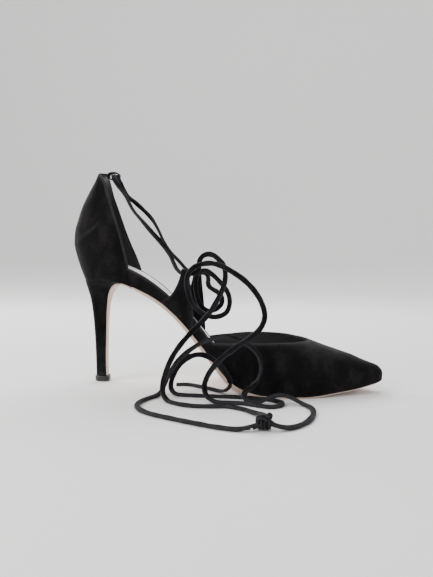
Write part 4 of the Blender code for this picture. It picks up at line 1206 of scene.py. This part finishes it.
def keeperPatches():
    # rounded strip section carried round an oval that is a little squared at its ends
    angle = np.linspace(0, 2 * math.pi, 97)
    power = 2 / keeper["square"]
    line = np.stack([keeper["halfLong"] * signedPower(np.cos(angle), power),
                     keeper["halfHigh"] * signedPower(np.sin(angle), power)], -1)
    ahead = np.roll(line[:-1], -1, 0) - np.roll(line[:-1], 1, 0)
    ahead = unit(np.concatenate([ahead, ahead[:1]]))
    away = np.stack([ahead[:, 1], -ahead[:, 0]], -1)
    turn = np.linspace(0, 2 * math.pi, 33)
    wide = keeper["half"] * signedPower(np.cos(turn), keeper["squareWide"])
    thick = keeper["thick"] / 2 * signedPower(np.sin(turn), keeper["squareThick"])
    ring = line[:, None] + away[:, None] * thick[None, :, None] + np.array(keeper["place"])
    body = np.stack([ring[..., 0], np.broadcast_to(wide, ring.shape[:2]), ring[..., 1]], -1)
    return [patch(body, 0, keeper["rubbed"] * ease(np.abs(wide) / keeper["half"], *keeper["rubbedFrom"]))]


addPiece("laceKeeper", keeperPatches(), [tabSuede], "tab", "lace_keeper")
print("shoe pieces done")

# Floor that sweeps up all round, and soft light
studio = {
    "floor": (0.82, 0.81, 0.80, 1.0),
    "floorRough": 0.7,
    "flat": 1.0,
    "bend": 1.8,
    "bendRows": 32,
    "top": 2.4,
    "around": 96,
    "sky": (0.93, 0.94, 0.96, 1.0),
    "skyStrength": 0.7,
    # name, place, aim, width, height, watts
    "lights": [
        ("key", (-0.75, -0.55, 0.75), (-0.03, 0.0, 0.08), 0.6, 0.7, 10.0),
        ("fill", (0.7, -0.8, 0.6), (0.05, 0.0, 0.04), 0.8, 0.6, 2.0),
        ("back", (-0.1, 0.75, 0.85), (0.0, 0.0, 0.08), 1.1, 0.5, 11.0),
        ("edge", (-0.95, 0.48, 0.62), (-0.09, 0.0, 0.1), 0.4, 0.5, 7.5),
        ("wall", (0.0, 0.9, 2.3), (0.0, 2.6, 0.5), 2.4, 0.6, 26.0),
    ],
}
# a flat disc, a quarter bend and an upright wall, turned round the upright axis
bend = np.linspace(0, math.pi / 2, studio["bendRows"] + 1)
out = np.concatenate([[0.001], studio["flat"] + studio["bend"] * np.sin(bend)])
up = np.concatenate([[0], studio["bend"] * (1 - np.cos(bend))])
out, up = np.append(out, out[-1])[:, None], np.append(up, studio["top"])[:, None]
around = np.linspace(0, 2 * math.pi, studio["around"] + 1)[None]
sweep = np.stack(np.broadcast_arrays(out * np.cos(around), out * np.sin(around), up), -1)
floorMesh = bpy.data.meshes.new("floor")
floorMesh.from_pydata(sweep.reshape(-1, 3).tolist(), [], gridFaces(*sweep.shape[:2]).tolist())
floorMesh.polygons.foreach_set("use_smooth", np.ones(len(floorMesh.polygons), bool))
floorPaper, floorTree, floorShader = newMaterial("floorPaper")
feed(floorTree, floorShader, {"Base Color": studio["floor"], "Roughness": studio["floorRough"]})
floorMesh.materials.append(floorPaper)
floorPiece = bpy.data.objects.new("floor", floorMesh)
bpy.context.scene.collection.objects.link(floorPiece)

world = bpy.data.worlds.new("studio")
world.use_nodes = True
background = world.node_tree.nodes["Background"]
feed(world.node_tree, background, {"Color": studio["sky"], "Strength": studio["skyStrength"]})
bpy.context.scene.world = world

for lightName, place, aim, width, height, watts in studio["lights"]:
    data = bpy.data.lights.new(lightName, "AREA")
    data.shape = "RECTANGLE"
    data.size = width
    data.size_y = height
    data.energy = watts
    lamp = bpy.data.objects.new(lightName, data)
    lamp.location = place
    lamp.rotation_euler = (Vector(aim) - Vector(place)).to_track_quat("-Z", "Y").to_euler()
    bpy.context.scene.collection.objects.link(lamp)
print("light and floor done")
